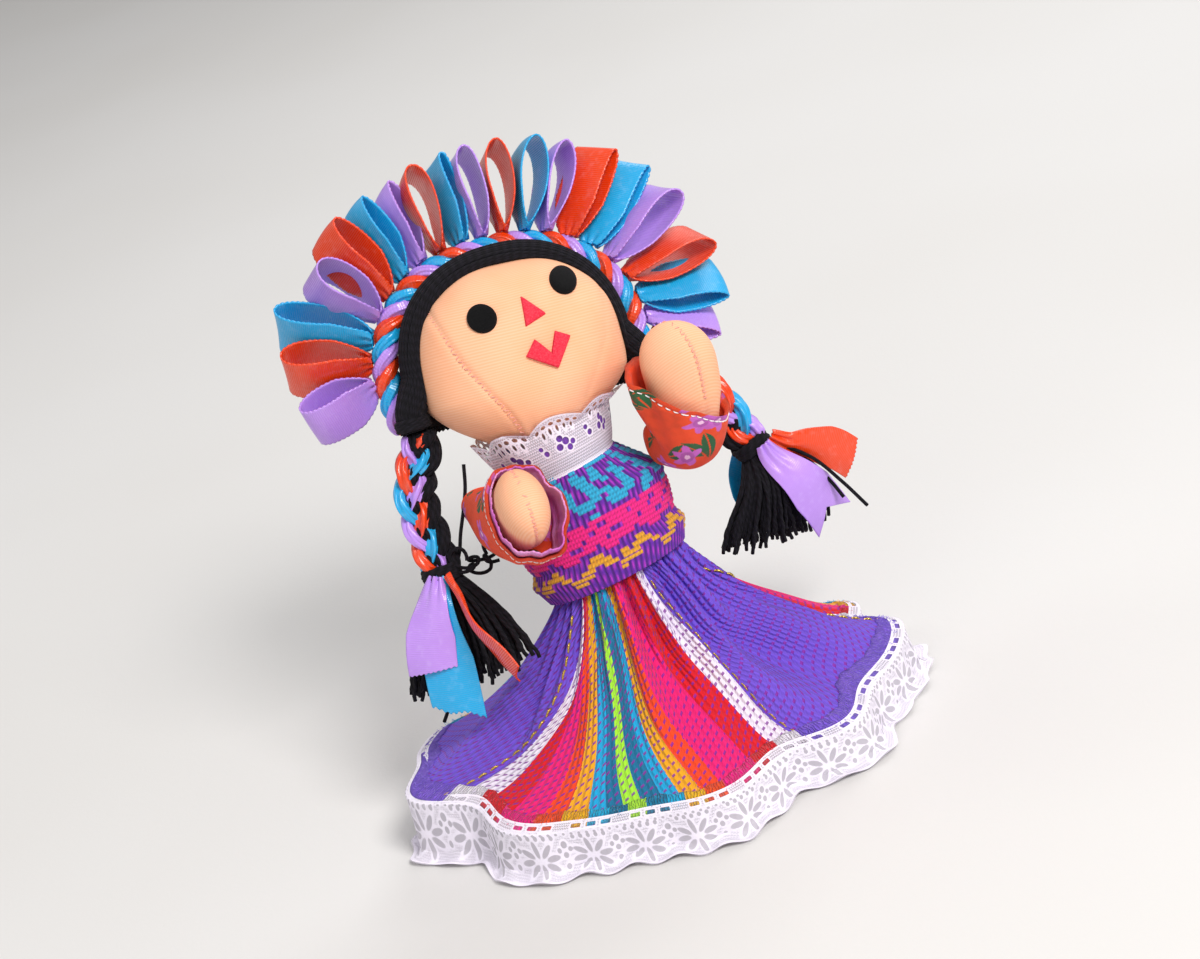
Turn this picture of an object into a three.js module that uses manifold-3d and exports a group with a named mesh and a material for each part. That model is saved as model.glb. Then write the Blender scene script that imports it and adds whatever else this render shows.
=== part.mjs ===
// A small rag doll of the traditional ribbon-crowned kind, standing on the lace hem of her skirt.
// Millimetres, +Z up. She faces -Y, so her left hand is at +X. The finished group is moved so that the
// origin is the middle of its foot. She leans back and a little to her right, and her head tips to her left.
import * as THREE from "three";
import { mergeVertices } from "three/addons/utils/BufferGeometryUtils.js";
import Module from "manifold-3d";

const wasm = await Module();
wasm.setup();

// General sizes
const SEAT_GAP = 0.3; // between two pieces that are sewn or pressed together
const REACH = 200; // longer than anything here, for the blocks that trim a piece

// Posture, in degrees
const LEAN_BACK = 15;
const LEAN_RIGHT = 8;
const HEAD_BACK = 6; // further than the body
const HEAD_TURNED = 10; // towards her left
const HEAD_ASIDE = 12; // towards her left, from the body's line
const FACE_SLANT = 11; // the features are stuck on at a slant

// Torso: [height from the waist, half width, half depth]
const TORSO = [
  [-8.5, 8.4, 6.8],
  [-7.4, 9.6, 7.8],
  [-4, 10.2, 8.2],
  [0, 9.7, 7.8],
  [4, 11.4, 8.4],
  [9, 12.6, 8.6],
  [14, 13.2, 8.4],
  [17.5, 10, 7.6],
  [20.6, 7.4, 6.4],
  [22.8, 5.8, 5.4],
  [24.4, 4.6, 4.6],
];
const TORSO_SIDES = 24;
const WAIST_AT = new THREE.Vector3(1.5, 2, 33.5);

// Blouse: a wrap of brocade cloth
const BLOUSE_CLOTH = 1.3;
const BLOUSE_TOP = 22.6;
const BLOUSE_STEPS = [0.25, 0.4, 0.62, 0.8, 0.91]; // shares of its height where its shape is set

// Skirt: a gathered strip of striped cloth, as a wide bell
const SKIRT_CLOTH = 1.2;
const WAISTBAND = 2.6; // stands up under the blouse
const HEM_HALF = [43.2, 34.6]; // sideways, and to the front
const HEM_BACK = 29.5;
const HEM_HEIGHT = 7.2;
const HEM_LIFT = 0.8; // the hem's corner on her left stands this much higher
const HEM_RAISED = 4.6; // and on her right, where she leans over it
const HEM_RAISED_AT = 192; // in degrees round the skirt
const BACK_TUCK = 0.26; // share of its depth drawn in behind her left side
const BACK_TUCK_AT = 32; // in degrees round the skirt
const BELL = 1.3; // how late the skirt flares
const DROOP = 0.5; // how much of its fall comes early, from 0 to 1
const FOLD_DEPTH = 2.8; // of the main folds at the hem
const FOLDS = 9; // round the skirt
const FOLD_SHARES = [0.62, 0.25, 0.13]; // of the main folds, of finer ones and of wider ones
const SKIRT_SIDES = 56;
const SKIRT_ROWS = 6;

// Lace sewn behind the hem; its edge lies on the table
const LACE_CLOTH = 0.8;
const LACE_TUCK = 0.06; // of the skirt's length, up behind the hem
const LACE_SPREAD = 1.6;
const LACE_FOOT = 2;

// Lace collar
const COLLAR_CLOTH = 0.7;
const COLLAR_FOOT = 20.8;
const COLLAR_HEIGHT = 9;
const COLLAR_SPREAD = 3;
const COLLAR_FLARE = 0.8; // below 1, it spreads most near its foot

// Head, half sizes sideways, front to back and upwards
const HEAD_HALF = [17.8, 15.4, 15.2];
const HEAD_FULL = 2.3; // 2 would be an ellipsoid; more is fuller between its tops and sides
const HEAD_TALL = 1.12; // the height above its middle against the height below
const JAW_FROM = 4.6; // below its middle, where it starts to narrow to the chin
const JAW_NARROW = 0.42; // share of its width lost at the chin
const JAW_BEND = 1.3; // how late it narrows
const HEAD_CLOTH = 0.8;
const HEAD_ROOM = 1.05; // what it needs to turn in, as a share of its width and depth
const NECK_HOLE = 4.2; // radius
const NECK_ASIDE = 1.8; // the neck is sewn on this far to her left of the middle
const HEAD_SIDES = 24;
const HEAD_ROWS = 12;

// Face: places from the middle of the head, to her left and up. Outlines are in shares of their sizes.
const FELT = 0.4;
const EYE_RADIUS = 2.35;
const EYES_APART = 15.2;
const EYES_AT = [1.3, 9.5];
const NOSE_DROP = 2.4;
const NOSE_SIZE = [4, 4.8];
const NOSE = [[-0.46, -0.37], [0.53, -0.26], [-0.07, 0.63]];
const MOUTH_DROP = 9.6;
const MOUTH_SIZE = [8.2, 5.9];
const MOUTH = [[-0.5, 0.16], [-0.19, 0.5], [0.03, -0.1], [0.25, 0.47], [0.5, 0.17], [0, -0.5]];

// Hair of black yarn
const HAIR_HALF = [20, 17.8, 17.8];
const HAIR_ASIDE = -0.4;
const ROLL_DEPTH = 4.2; // half the depth of the rolled front
const ROLL_THICK = 2.9;
const ROLL_TOP = 20.2; // above the middle of the head
const ROLL_AT = -0.8;
const NAPE = -8;
const HAIR_END = -34; // in degrees below the middle, where the rolled front would end but for its tie
const TIE_TOP = -4.6; // the hair is tied here beside the jaw
const TIE_RADIUS = 2.9;
const TIE_HEIGHT = 2.6;

// Ribbon crown: three ribbons twisted round the head and pulled out into loops
const CROWN_BACK = 5.2; // behind the middle of the head
const CROWN_END = -20; // in degrees below the middle
const CROWN_STRAND = 0.85;
const CROWN_LAY = 1.22; // from the middle of the twist to each strand's
const CROWN_TURNS = 7;
const CROWN_STEPS = 42;
const RIBBON_WIDTH = 8.8;
const RIBBON_PINCH = 3; // width where a loop is caught in the twist
const RIBBON_THICK = 0.35;
const LOOP_ENDS = 0.45; // each end of a loop's ribbon from the loop's own line
const LOOP_STEPS = 10;
const LOOPS_FROM = 0.11; // the first and the last loop's places along the twist
const LOOPS_TO = 0.975;
const COLOURS_IN_TURN = ["purple", "orange", "cyan"];
// From her right ear to her left ear, with angles in degrees: length, direction up from her left, turn about
// its own line, half opening, and lean to the back.
const LOOPS = [
  [16.5, 191, 54, 1.5, 2],
  [16.5, 173, 50, 1.5, 10],
  [16.5, 156, 48, 1.5, 18],
  [14.5, 128, 42, 1.2, 2],
  [15.5, 120, 40, 1.1, 9],
  [15.0, 113, 38, 1.0, 16],
  [14.5, 106, 34, 1.0, 23],
  [14.5, 98, 22, 1.4, 12],
  [15.0, 94, 24, 1.2, 20],
  [15.0, 89, 16, 1.4, 10],
  [15.5, 80, 10, 1.7, 14],
  [16.0, 71, 16, 1.7, 8],
  [15.5, 66, 22, 1.6, 14],
  [16.0, 57, 38, 1.4, 6],
  [16.5, 49, 50, 1.3, 14],
  [16.0, 33, 46, 1.5, 8],
  [16.0, 10, 40, 1.5, 10],
  [15.5, -4, 46, 1.4, 6],
  [13.0, -14, 46, 1.2, 14],
  [10.5, -28, 46, 0.9, 6],
  [8.5, -30, 44, 1.0, 14],
];

// Braids: lines from the tie to the braid's end, in the standing doll's directions
const BRAID_STRAND = 1.5;
const BRAID_SWAY = 1.55;
const BRAID_DEPTH = 0.8;
const BRAID_TURNS = 1.7;
const BRAID_STEPS = 10;
const BRAID_TIE = [3.3, 2.8]; // radius and height
const TAIL_STEPS = 7;
const TASSEL_HALF = [9, 4.6]; // at its end, across and deep
// Ribbon tails: colour, width, line below the tie as [across the tassel, in front of its middle, up], and the
// way that the width lies: 0 with the tassel, otherwise a direction.
const TAILS = {
  right: [
    ["purple", 8.6, [[-1, 4, 0], [-1.6, 5.6, -4.2], [-1.8, 6.3, -8.4], [-1.8, 6.5, -12.6]], 0],
    ["cyan", 9, [[-0.4, 3.3, 0], [0, 4.8, -5.5], [0.8, 5.4, -11], [1.4, 5.5, -16.5], [2, 5.5, -21]], 0],
    ["orange", 7.4, [[3.6, 4.4, 0], [7, 8, -4.6], [11.5, 9.4, -9.4], [15, 9.8, -14]], [0.2, -0.9, 0.4]],
  ],
  left: [
    ["purple", 8.4, [[0.4, 4, 0], [2.2, 6.9, -5], [4, 7.2, -10.6], [5.6, 6.6, -16.4]], 0],
    ["cyan", 7.6, [[-0.6, -3.8, -0.4], [-1.2, -5.6, -5.4], [-1.2, -5.8, -11], [-1, -5.8, -16]], 0],
    ["orange", 7, [[4.4, 3.4, 0.4], [7.6, 5, -1], [11.2, 5.4, -4], [14.2, 5.4, -8.4]], [0.5, 0.1, 0.85]],
  ],
};

// Arms, each along points in the torso's frame
const ARM_RIGHT = [[-16.2, -1, 21], [-16, -8, 18], [-9.6, -17.4, 18.6], [-4.6, -24, 23.5]];
const ARM_LEFT = [[15.9, -0.5, 17.5], [20.8, -7.4, 15.8], [24.2, -11.4, 24], [26.6, -15.2, 36]];
const ACROSS_RIGHT = [1, 0, 0]; // the way each hand is narrow
const ACROSS_LEFT = [-0.3, -0.8, -0.5];
const ARM_SHOULDER = [2.5, 3.6]; // half sizes
const ARM_HAND = [4.3, 6.4];
const SLEEVE_CLOTH = 0.8;
const SLEEVE_ROOM = 0.5; // round the arm at the shoulder
const SLEEVE_LOOSE = 1.9; // round the arm at the cuff
const ARM_STEPS = 10;
const SLEEVE_STEPS = 6; // of the arm's
const ARM_SIDES = 12;

// Legs, hanging straight down inside the skirt
const HIPS_APART = 11.4;
const LEG_RADIUS = 4;
const ANKLE_RADIUS = 2.6;
const SHOE_HALF = [3.9, 6];
const SHOE_HEIGHT = 5.4;
const HEEL_BEHIND = 0.6; // the heel, from the back of the ankle
const SOLE_CLEAR = 1.6; // above the table, for the heel to swing

const COLOURS = {
  skin: 0xf6bd92, stuffing: 0xf4f1ea, hair: 0x0d0c10, eye: 0x121214, red: 0xe8243f,
  purple: 0xa26fd0, orange: 0xe03a14, cyan: 0x2ea6d8,
  blouse: 0x6a1b9a, print: 0xe8501c, skirt: 0x6a45c8, lace: 0xf3eefb, felt: 0x1c1a20,
};

const rad = THREE.MathUtils.degToRad;
const mix = THREE.MathUtils.lerp;
const vec = (x, y, z) => new THREE.Vector3(x, y, z);

// Cloth and yarn are dull; satin ribbon has a sheen.
function named(name, geometry, colour) {
  const satin = COLOURS_IN_TURN.includes(colour);
  const roughness = satin ? 0.4 : 0.9;
  const material = new THREE.MeshStandardMaterial({ color: COLOURS[colour], roughness, metalness: 0 });
  const mesh = new THREE.Mesh(geometry, material);
  mesh.name = name;
  return mesh;
}

// Joins rings of points into one closed surface. A list that closes on itself is a tube with a wall;
// otherwise each end is closed by a fan about its middle.
function fromRings(rings, closesOnItself = false) {
  const n = rings[0].length;
  const points = rings.flat();
  const faces = [];
  const spans = closesOnItself ? rings.length : rings.length - 1;
  for (let i = 0; i < spans; i++) {
    const a = i * n;
    const b = ((i + 1) % rings.length) * n;
    for (let j = 0; j < n; j++) {
      const k = (j + 1) % n;
      faces.push(a + j, a + k, b + k, a + j, b + k, b + j);
    }
  }
  if (!closesOnItself) {
    const order = [...Array(n).keys()];
    const last = (rings.length - 1) * n;
    for (const end of [order.toReversed(), order.map((j) => last + j)]) {
      const middle = end.reduce((sum, j) => sum.add(points[j]), vec(0, 0, 0)).divideScalar(n);
      points.push(middle);
      end.forEach((j, i) => faces.push(j, end[(i + 1) % n], points.length - 1));
    }
  }
  return facingOut(new THREE.BufferGeometry().setFromPoints(points).setIndex(faces));
}

function volumeOf(geometry) {
  const p = geometry.getAttribute("position");
  const corner = [vec(0, 0, 0), vec(0, 0, 0), vec(0, 0, 0)];
  let sum = 0;
  for (let i = 0; i < geometry.index.count; i += 3) {
    corner.forEach((c, j) => c.fromBufferAttribute(p, geometry.index.getX(i + j)));
    sum += corner[0].dot(corner[1].cross(corner[2])) / 6;
  }
  return sum;
}

function facingOut(geometry) {
  if (volumeOf(geometry) > 0) return geometry;
  const index = Array.from(geometry.index.array);
  for (let i = 0; i < index.length; i += 3) [index[i + 1], index[i + 2]] = [index[i + 2], index[i + 1]];
  return geometry.setIndex(index);
}

// The same surface with shared corners, facing out.
function closed(geometry) {
  const bare = geometry.clone();
  bare.deleteAttribute("normal");
  bare.deleteAttribute("uv");
  return facingOut(mergeVertices(bare, 1e-4));
}

// A geometry as a solid that can be cut and joined, and back.
function toSolid(geometry) {
  const merged = closed(geometry);
  const vertProperties = merged.getAttribute("position").array;
  const triVerts = new Uint32Array(merged.index.array);
  return new wasm.Manifold(new wasm.Mesh({ numProp: 3, vertProperties, triVerts }));
}

function toGeometry(solid) {
  const mesh = solid.getMesh();
  return new THREE.BufferGeometry()
    .setAttribute("position", new THREE.BufferAttribute(new Float32Array(mesh.vertProperties), 3))
    .setIndex(Array.from(mesh.triVerts));
}

const cut = (piece, ...others) => toGeometry(others.reduce((s, o) => s.subtract(toSolid(o)), toSolid(piece)));
const keep = (piece, within) => toGeometry(toSolid(piece).intersect(toSolid(within)));
const join = (...pieces) => toGeometry(pieces.map(toSolid).reduce((s, p) => s.add(p)));

// A block from one corner to the other, for trimming.
function block(low, high) {
  const size = high.map((h, i) => h - low[i]);
  return new THREE.BoxGeometry(...size).translate(...low.map((l, i) => l + size[i] / 2));
}

const ring = (n, at) => Array.from({ length: n }, (_, j) => at((j / n) * 2 * Math.PI));

// Share of the head's width that is left at a height below its middle.
function jawAt(z, grow) {
  const down = THREE.MathUtils.clamp((-z - JAW_FROM) / (HEAD_HALF[2] + grow - JAW_FROM), 0, 1);
  return 1 - JAW_NARROW * down ** JAW_BEND;
}

// The head's form: fuller than an ellipsoid, taller above its middle, and narrower at the chin.
function headForm(half, grow = 0) {
  const form = stuffed(half, grow);
  const p = form.getAttribute("position");
  for (let i = 0; i < p.count; i++) {
    const z = p.getZ(i);
    p.setX(i, p.getX(i) * jawAt(z, grow));
    p.setZ(i, z > 0 ? z * HEAD_TALL : z);
  }
  return form;
}

// A stuffed round form: an ellipsoid made a little fuller.
function stuffed(half, grow = 0) {
  const ball = new THREE.SphereGeometry(1, HEAD_SIDES, HEAD_ROWS).rotateX(Math.PI / 2);
  const p = ball.getAttribute("position");
  for (let i = 0; i < p.count; i++) {
    const at = vec(p.getX(i), p.getY(i), p.getZ(i));
    const size = at.toArray().reduce((sum, v) => sum + Math.abs(v) ** HEAD_FULL, 0) ** (1 / HEAD_FULL);
    p.setXYZ(i, at.x / size, at.y / size, at.z / size);
  }
  return ball.scale(...half.map((h) => h + grow));
}

// The direction in a section square to a curve that lies nearest to "across", and the one square to both.
function sideways(along, across) {
  const side = across.clone().addScaledVector(along, -across.dot(along)).normalize();
  return [side, along.clone().cross(side)];
}

// A round-sectioned form along a curve. half(t) gives its half sizes, first along "across".
function formAlong(curve, across, half, steps, sides, from = 0, to = 1) {
  const rings = [];
  for (let i = 0; i <= steps; i++) {
    const t = mix(from, to, i / steps);
    const [side, other] = sideways(curve.getTangentAt(t), across);
    const [a, b] = half(t);
    const middle = curve.getPointAt(t);
    rings.push(ring(sides, (u) =>
      middle.clone().addScaledVector(side, a * Math.cos(u)).addScaledVector(other, b * Math.sin(u))));
  }
  return rings;
}

// A flat ribbon along points; width(t) lies along "across".
function ribbon(points, across, width) {
  const curve = new THREE.CatmullRomCurve3(points);
  const corners = [[-1, -1], [1, -1], [1, 1], [-1, 1]];
  return fromRings(points.map((middle, i) => {
    const t = i / (points.length - 1);
    const [side, out] = sideways(curve.getTangent(t), across);
    return corners.map(([s, o]) =>
      middle.clone().addScaledVector(side, (s * width(t)) / 2).addScaledVector(out, (o * RIBBON_THICK) / 2));
  }));
}

function tube(points, radius, sides, steps) {
  const section = ring(sides, (u) => new THREE.Vector2(radius * Math.cos(u), radius * Math.sin(u)));
  const extrudePath = new THREE.CatmullRomCurve3(points);
  return new THREE.ExtrudeGeometry(new THREE.Shape(section), { steps, extrudePath });
}

// Frames. The torso's stands on the middle of the waist, the head's on the middle of the head.
const doll = new THREE.Group();
const torso = new THREE.Group();
torso.position.copy(WAIST_AT);
torso.rotation.set(rad(-LEAN_BACK), rad(-LEAN_RIGHT), 0, "YXZ");
doll.add(torso);

const neckTop = TORSO[TORSO.length - 1][0];
const neck = new THREE.Group();
neck.position.set(0, 0, neckTop + SEAT_GAP);
neck.rotation.set(rad(-HEAD_BACK), rad(HEAD_ASIDE), rad(HEAD_TURNED), "YXZ");
torso.add(neck);
const head = new THREE.Group();
head.position.set(-NECK_ASIDE, 0, HEAD_HALF[2] * 0.985);
neck.add(head);
doll.updateMatrixWorld(true);

// Half sizes of the torso at a height from the waist.
function torsoAt(z) {
  const above = Math.max(1, TORSO.findIndex(([height]) => height >= z));
  const [low, high] = [TORSO[above - 1], TORSO[above]];
  const share = THREE.MathUtils.clamp((z - low[0]) / (high[0] - low[0]), 0, 1);
  return [mix(low[1], high[1], share), mix(low[2], high[2], share)];
}

function torsoRing(z, grow, sides = TORSO_SIDES) {
  const [a, b] = torsoAt(z);
  return ring(sides, (u) => vec((a + grow) * Math.cos(u), (b + grow) * Math.sin(u), z));
}

// A band of cloth round the torso at the given heights; room(z) is the space inside it.
function bandRound(heights, cloth, room, sides = TORSO_SIDES) {
  const outside = heights.map((z) => torsoRing(z, room(z) + cloth, sides));
  const inside = heights.map((z) => torsoRing(z, room(z), sides)).reverse();
  return fromRings([...outside, ...inside], true);
}

// The space that the head needs as it turns, in the torso's frame.
function headRoom() {
  const [a, b, c] = HEAD_HALF;
  const room = headForm([a * HEAD_ROOM, b * HEAD_ROOM, c], SEAT_GAP);
  return room.applyMatrix4(head.matrix).applyMatrix4(neck.matrix);
}

function torsoBody() {
  return named("torso_body", cut(fromRings(TORSO.map(([z]) => torsoRing(z, 0))), headRoom()), "skin");
}

// The blouse goes over the skirt's waistband and lies on the torso above it.
function blouse() {
  const bandTop = WAISTBAND + 1;
  const heights = [SEAT_GAP, bandTop, ...BLOUSE_STEPS.map((share) => share * BLOUSE_TOP), BLOUSE_TOP];
  const overBand = SEAT_GAP + SKIRT_CLOTH + SEAT_GAP;
  const room = (z) => (z <= bandTop ? overBand : SEAT_GAP);
  return named("blouse", cut(bandRound(heights, BLOUSE_CLOTH, room), headRoom()), "blouse");
}

// The collar's foot goes round the top of the blouse. Its edge spreads, and the head presses its sides down.
function collar() {
  const heights = [0, 0.5, 1].map((share) => COLLAR_FOOT + share * COLLAR_HEIGHT);
  const foot = torsoAt(COLLAR_FOOT).map((half) => half + SEAT_GAP + BLOUSE_CLOTH + SEAT_GAP);
  const wall = (z, more) => {
    const spread = Math.pow((z - COLLAR_FOOT) / COLLAR_HEIGHT, COLLAR_FLARE) * COLLAR_SPREAD + more;
    const [a, b] = foot.map((half) => half + spread);
    return ring(TORSO_SIDES, (u) => vec(a * Math.cos(u), b * Math.sin(u), z));
  };
  const outside = heights.map((z) => wall(z, COLLAR_CLOTH));
  const inside = heights.map((z) => wall(z, 0)).reverse();
  return named("collar", cut(fromRings([...outside, ...inside], true), headRoom()), "lace");
}

// Depth of the main folds round the skirt, from -1 to 1; uneven, so that no two are alike.
function folds(angle) {
  const [main, fine, wide] = FOLD_SHARES;
  return main * Math.cos(FOLDS * angle + 0.9) + fine * Math.cos((FOLDS + 4) * angle - 1.1)
    + wide * Math.cos((FOLDS - 4) * angle + 2.3);
}

// A soft rise round one place of the hem, from 0 to 1.
const riseAt = (angle, place, power) => Math.pow(Math.max(0, Math.cos(angle - rad(place))), power);

const hemHeight = (angle) => HEM_HEIGHT + HEM_LIFT * riseAt(angle, -9, 6)
  + HEM_RAISED * riseAt(angle, HEM_RAISED_AT, 4);

// A point on the skirt: angle round it from her left, share of the way down from the waist, and depth into
// the cloth.
function onSkirt(angle, down, inwards = 0) {
  const [a, b] = torsoAt(0).map((half) => half + SEAT_GAP + SKIRT_CLOTH - inwards);
  const top = vec(a * Math.cos(angle), b * Math.sin(angle), 0).applyMatrix4(torso.matrixWorld);
  const fold = FOLD_DEPTH * folds(angle) - inwards;
  const tucked = 1 - BACK_TUCK * riseAt(angle, BACK_TUCK_AT, 6);
  const deep = angle > Math.PI ? HEM_HALF[1] : HEM_BACK * tucked;
  const [x, y] = [(HEM_HALF[0] + fold) * Math.cos(angle), (deep + fold) * Math.sin(angle)];
  const out = Math.pow(down, BELL);
  const fall = mix(down, Math.sin((down * Math.PI) / 2), DROOP);
  return vec(mix(top.x, x, out), mix(top.y, y, out), mix(top.z, hemHeight(angle), fall));
}

function onWaistband(angle, up, inwards = 0) {
  const [a, b] = torsoAt(up).map((half) => half + SEAT_GAP + SKIRT_CLOTH - inwards);
  return vec(a * Math.cos(angle), b * Math.sin(angle), up).applyMatrix4(torso.matrixWorld);
}

function skirt() {
  const wall = (inwards) => {
    const rows = [ring(SKIRT_SIDES, (u) => onWaistband(u, WAISTBAND, inwards))];
    for (let i = 0; i <= SKIRT_ROWS; i++) {
      rows.push(ring(SKIRT_SIDES, (u) => onSkirt(u, i / SKIRT_ROWS, inwards)));
    }
    return rows;
  };
  return named("skirt", fromRings([...wall(0), ...wall(SKIRT_CLOTH).reverse()], true), "skirt");
}

// The lace leaves the inside of the hem, falls to the table, and its edge lies there.
function laceHem() {
  const out = (angle) => vec(Math.cos(angle), Math.sin(angle), 0);
  const back = SKIRT_CLOTH + SEAT_GAP;
  const at = (angle, away, z) => onSkirt(angle, 1, back).addScaledVector(out(angle), away).setZ(z);
  const under = (angle, cloth) => onSkirt(angle, 1, back + cloth).add(vec(0, 0, -cloth / 2));
  const fall = LACE_SPREAD + back;
  const rows = [
    (u) => onSkirt(u, 1 - LACE_TUCK, back),
    (u) => under(u, 0),
    (u) => at(u, fall, LACE_CLOTH),
    (u) => at(u, fall + LACE_FOOT, LACE_CLOTH),
    (u) => at(u, fall + LACE_FOOT, 0),
    (u) => at(u, fall - LACE_CLOTH, 0),
    (u) => under(u, LACE_CLOTH),
    (u) => onSkirt(u, 1 - LACE_TUCK, back + LACE_CLOTH),
  ];
  return named("lace_hem", fromRings(rows.map((row) => ring(SKIRT_SIDES, row)), true), "lace");
}

// Head: a shell with the neck hole below, and the filling inside it.
function headSkin() {
  const hole = new THREE.CylinderGeometry(NECK_HOLE, NECK_HOLE, HEAD_HALF[2], 20).rotateX(Math.PI / 2)
    .translate(NECK_ASIDE, 0, -HEAD_HALF[2]);
  return named("head_skin", cut(headForm(HEAD_HALF), headForm(HEAD_HALF, -HEAD_CLOTH), hole), "skin");
}

function headStuffing() {
  return named("head_stuffing", headForm(HEAD_HALF, -HEAD_CLOTH - SEAT_GAP), "stuffing");
}

// A feature cut out of felt, curved over the front of the head. Its outline starts from between the eyes.
function feature(name, outline, colour) {
  const turned = outline.map((p) => p.clone().rotateAround(new THREE.Vector2(), rad(FACE_SLANT)));
  const shape = new THREE.Shape(turned.map((p) => p.add(new THREE.Vector2(...EYES_AT))));
  const prism = new THREE.ExtrudeGeometry(shape, { depth: REACH, bevelEnabled: false }).rotateX(Math.PI / 2);
  const felt = cut(headForm(HEAD_HALF, SEAT_GAP + FELT), headForm(HEAD_HALF, SEAT_GAP));
  return named(name, keep(felt, prism), colour);
}

function face() {
  const p = (x, z) => new THREE.Vector2(x, z);
  const eye = (side) => {
    const middle = (side * EYES_APART) / 2;
    return ring(16, (u) => p(middle + EYE_RADIUS * Math.cos(u), EYE_RADIUS * Math.sin(u)));
  };
  const outline = (corners, [wide, tall], drop) => corners.map(([x, z]) => p(x * wide, z * tall - drop));
  return [
    feature("eye_right", eye(-1), "eye"),
    feature("eye_left", eye(1), "eye"),
    feature("nose", outline(NOSE, NOSE_SIZE, NOSE_DROP), "red"),
    feature("mouth", outline(MOUTH, MOUTH_SIZE, MOUTH_DROP), "red"),
  ];
}

// A place round the head on its upright outline: angle up from her left.
function roundHead(angle, half, y) {
  const [x, z] = [Math.cos(angle), Math.sin(angle)];
  const size = (Math.abs(x) ** HEAD_FULL + Math.abs(z) ** HEAD_FULL) ** (1 / HEAD_FULL);
  return vec(HAIR_ASIDE + (half[0] * x) / size, y, (half[1] * z) / size);
}

function arch(half, y, below, steps = 40) {
  const [from, to] = [Math.PI - rad(below), rad(below)];
  const points = Array.from({ length: steps + 1 }, (_, i) => roundHead(mix(from, to, i / steps), half, y));
  return new THREE.CatmullRomCurve3(points);
}

function hair() {
  const middle = [HAIR_HALF[0] - ROLL_THICK, ROLL_TOP - ROLL_THICK];
  const round = (t) => Math.pow(Math.max(0.02, 1 - Math.pow(Math.abs(2 * t - 1), 14)), 0.5);
  const roll = fromRings(formAlong(arch(middle, ROLL_AT, HAIR_END), vec(0, 1, 0),
    (t) => [ROLL_DEPTH * round(t), ROLL_THICK * round(t)], 22, 10));
  const inside = headForm(HEAD_HALF, SEAT_GAP);
  const rear = ROLL_AT + ROLL_DEPTH + SEAT_GAP;
  const tied = block([-REACH, -REACH, -REACH], [REACH, REACH, TIE_TOP + SEAT_GAP]);
  const cap = stuffed(HAIR_HALF).translate(HAIR_ASIDE, 0, 0);
  const front = block([-REACH, -REACH, -REACH], [REACH, rear, REACH]);
  const nape = block([-REACH, -REACH, -REACH], [REACH, REACH, NAPE]);
  return [
    named("hair_roll", cut(roll, inside, tied), "hair"),
    named("hair_back", cut(cap, inside, front, nape), "hair"),
  ];
}

doll.add(skirt(), laceHem());
torso.add(torsoBody(), blouse(), collar());
head.add(headSkin(), headStuffing(), ...face(), ...hair());

// Crown
const hairAtCrown = (1 - (CROWN_BACK / HAIR_HALF[1]) ** HEAD_FULL) ** (1 / HEAD_FULL);
const crownHalf = [0, 2].map((i) => HAIR_HALF[i] * hairAtCrown + SEAT_GAP + CROWN_STRAND + CROWN_LAY);
const crownLine = arch(crownHalf, CROWN_BACK, CROWN_END, 60);

function crownStrand(index) {
  const points = Array.from({ length: CROWN_STEPS + 1 }, (_, i) => {
    const t = i / CROWN_STEPS;
    const [side, other] = sideways(crownLine.getTangentAt(t), vec(0, 1, 0));
    const phase = 2 * Math.PI * (CROWN_TURNS * t + index / COLOURS_IN_TURN.length);
    return crownLine.getPointAt(t)
      .addScaledVector(side, CROWN_LAY * Math.cos(phase)).addScaledVector(other, CROWN_LAY * Math.sin(phase));
  });
  const colour = COLOURS_IN_TURN[index];
  return named(`crown_${colour}`, tube(points, CROWN_STRAND, 5, CROWN_STEPS), colour);
}

// One loop: out along its line, round, and back to the twist.
function ribbonLoop(index) {
  const [length, direction, turn, opening, back] = LOOPS[index];
  const share = mix(LOOPS_FROM, LOOPS_TO, index / (LOOPS.length - 1));
  const outwards = vec(Math.cos(rad(direction)), 0, Math.sin(rad(direction)));
  const line = outwards.clone().multiplyScalar(Math.cos(rad(back))).setY(Math.sin(rad(back)));
  const across = vec(0, 1, 0).addScaledVector(line, -line.y).normalize().applyAxisAngle(line, rad(turn));
  const lateral = line.clone().cross(across);
  const [, normal] = sideways(crownLine.getTangentAt(share), vec(0, 1, 0));
  if (normal.dot(outwards) < 0) normal.negate();
  const root = crownLine.getPointAt(share).addScaledVector(normal, CROWN_LAY + CROWN_STRAND + SEAT_GAP);
  const points = Array.from({ length: LOOP_STEPS + 1 }, (_, i) => {
    const t = i / LOOP_STEPS;
    const out = (length * (1 - Math.cos(2 * Math.PI * t))) / 2;
    const belly = opening * Math.sin(2 * Math.PI * t) * Math.sin(Math.PI * t);
    const beside = LOOP_ENDS * Math.cos(Math.PI * t) + belly;
    return root.clone().addScaledVector(line, out).addScaledVector(lateral, beside);
  });
  const width = (t) => mix(RIBBON_PINCH, RIBBON_WIDTH, Math.min(1, 1.5 * Math.sin(Math.PI * t) ** 1.2));
  const name = `ribbon_loop_${String(index + 1).padStart(2, "0")}`;
  return named(name, ribbon(points, across, width), COLOURS_IN_TURN[index % COLOURS_IN_TURN.length]);
}

head.add(...COLOURS_IN_TURN.map((_, i) => crownStrand(i)), ...LOOPS.map((_, i) => ribbonLoop(i)));

// Yarn ties beside the jaw, where the hair ends and each braid begins. side is -1 for her right and 1 for her
// left.
const sideName = (side) => (side < 0 ? "right" : "left");

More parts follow.
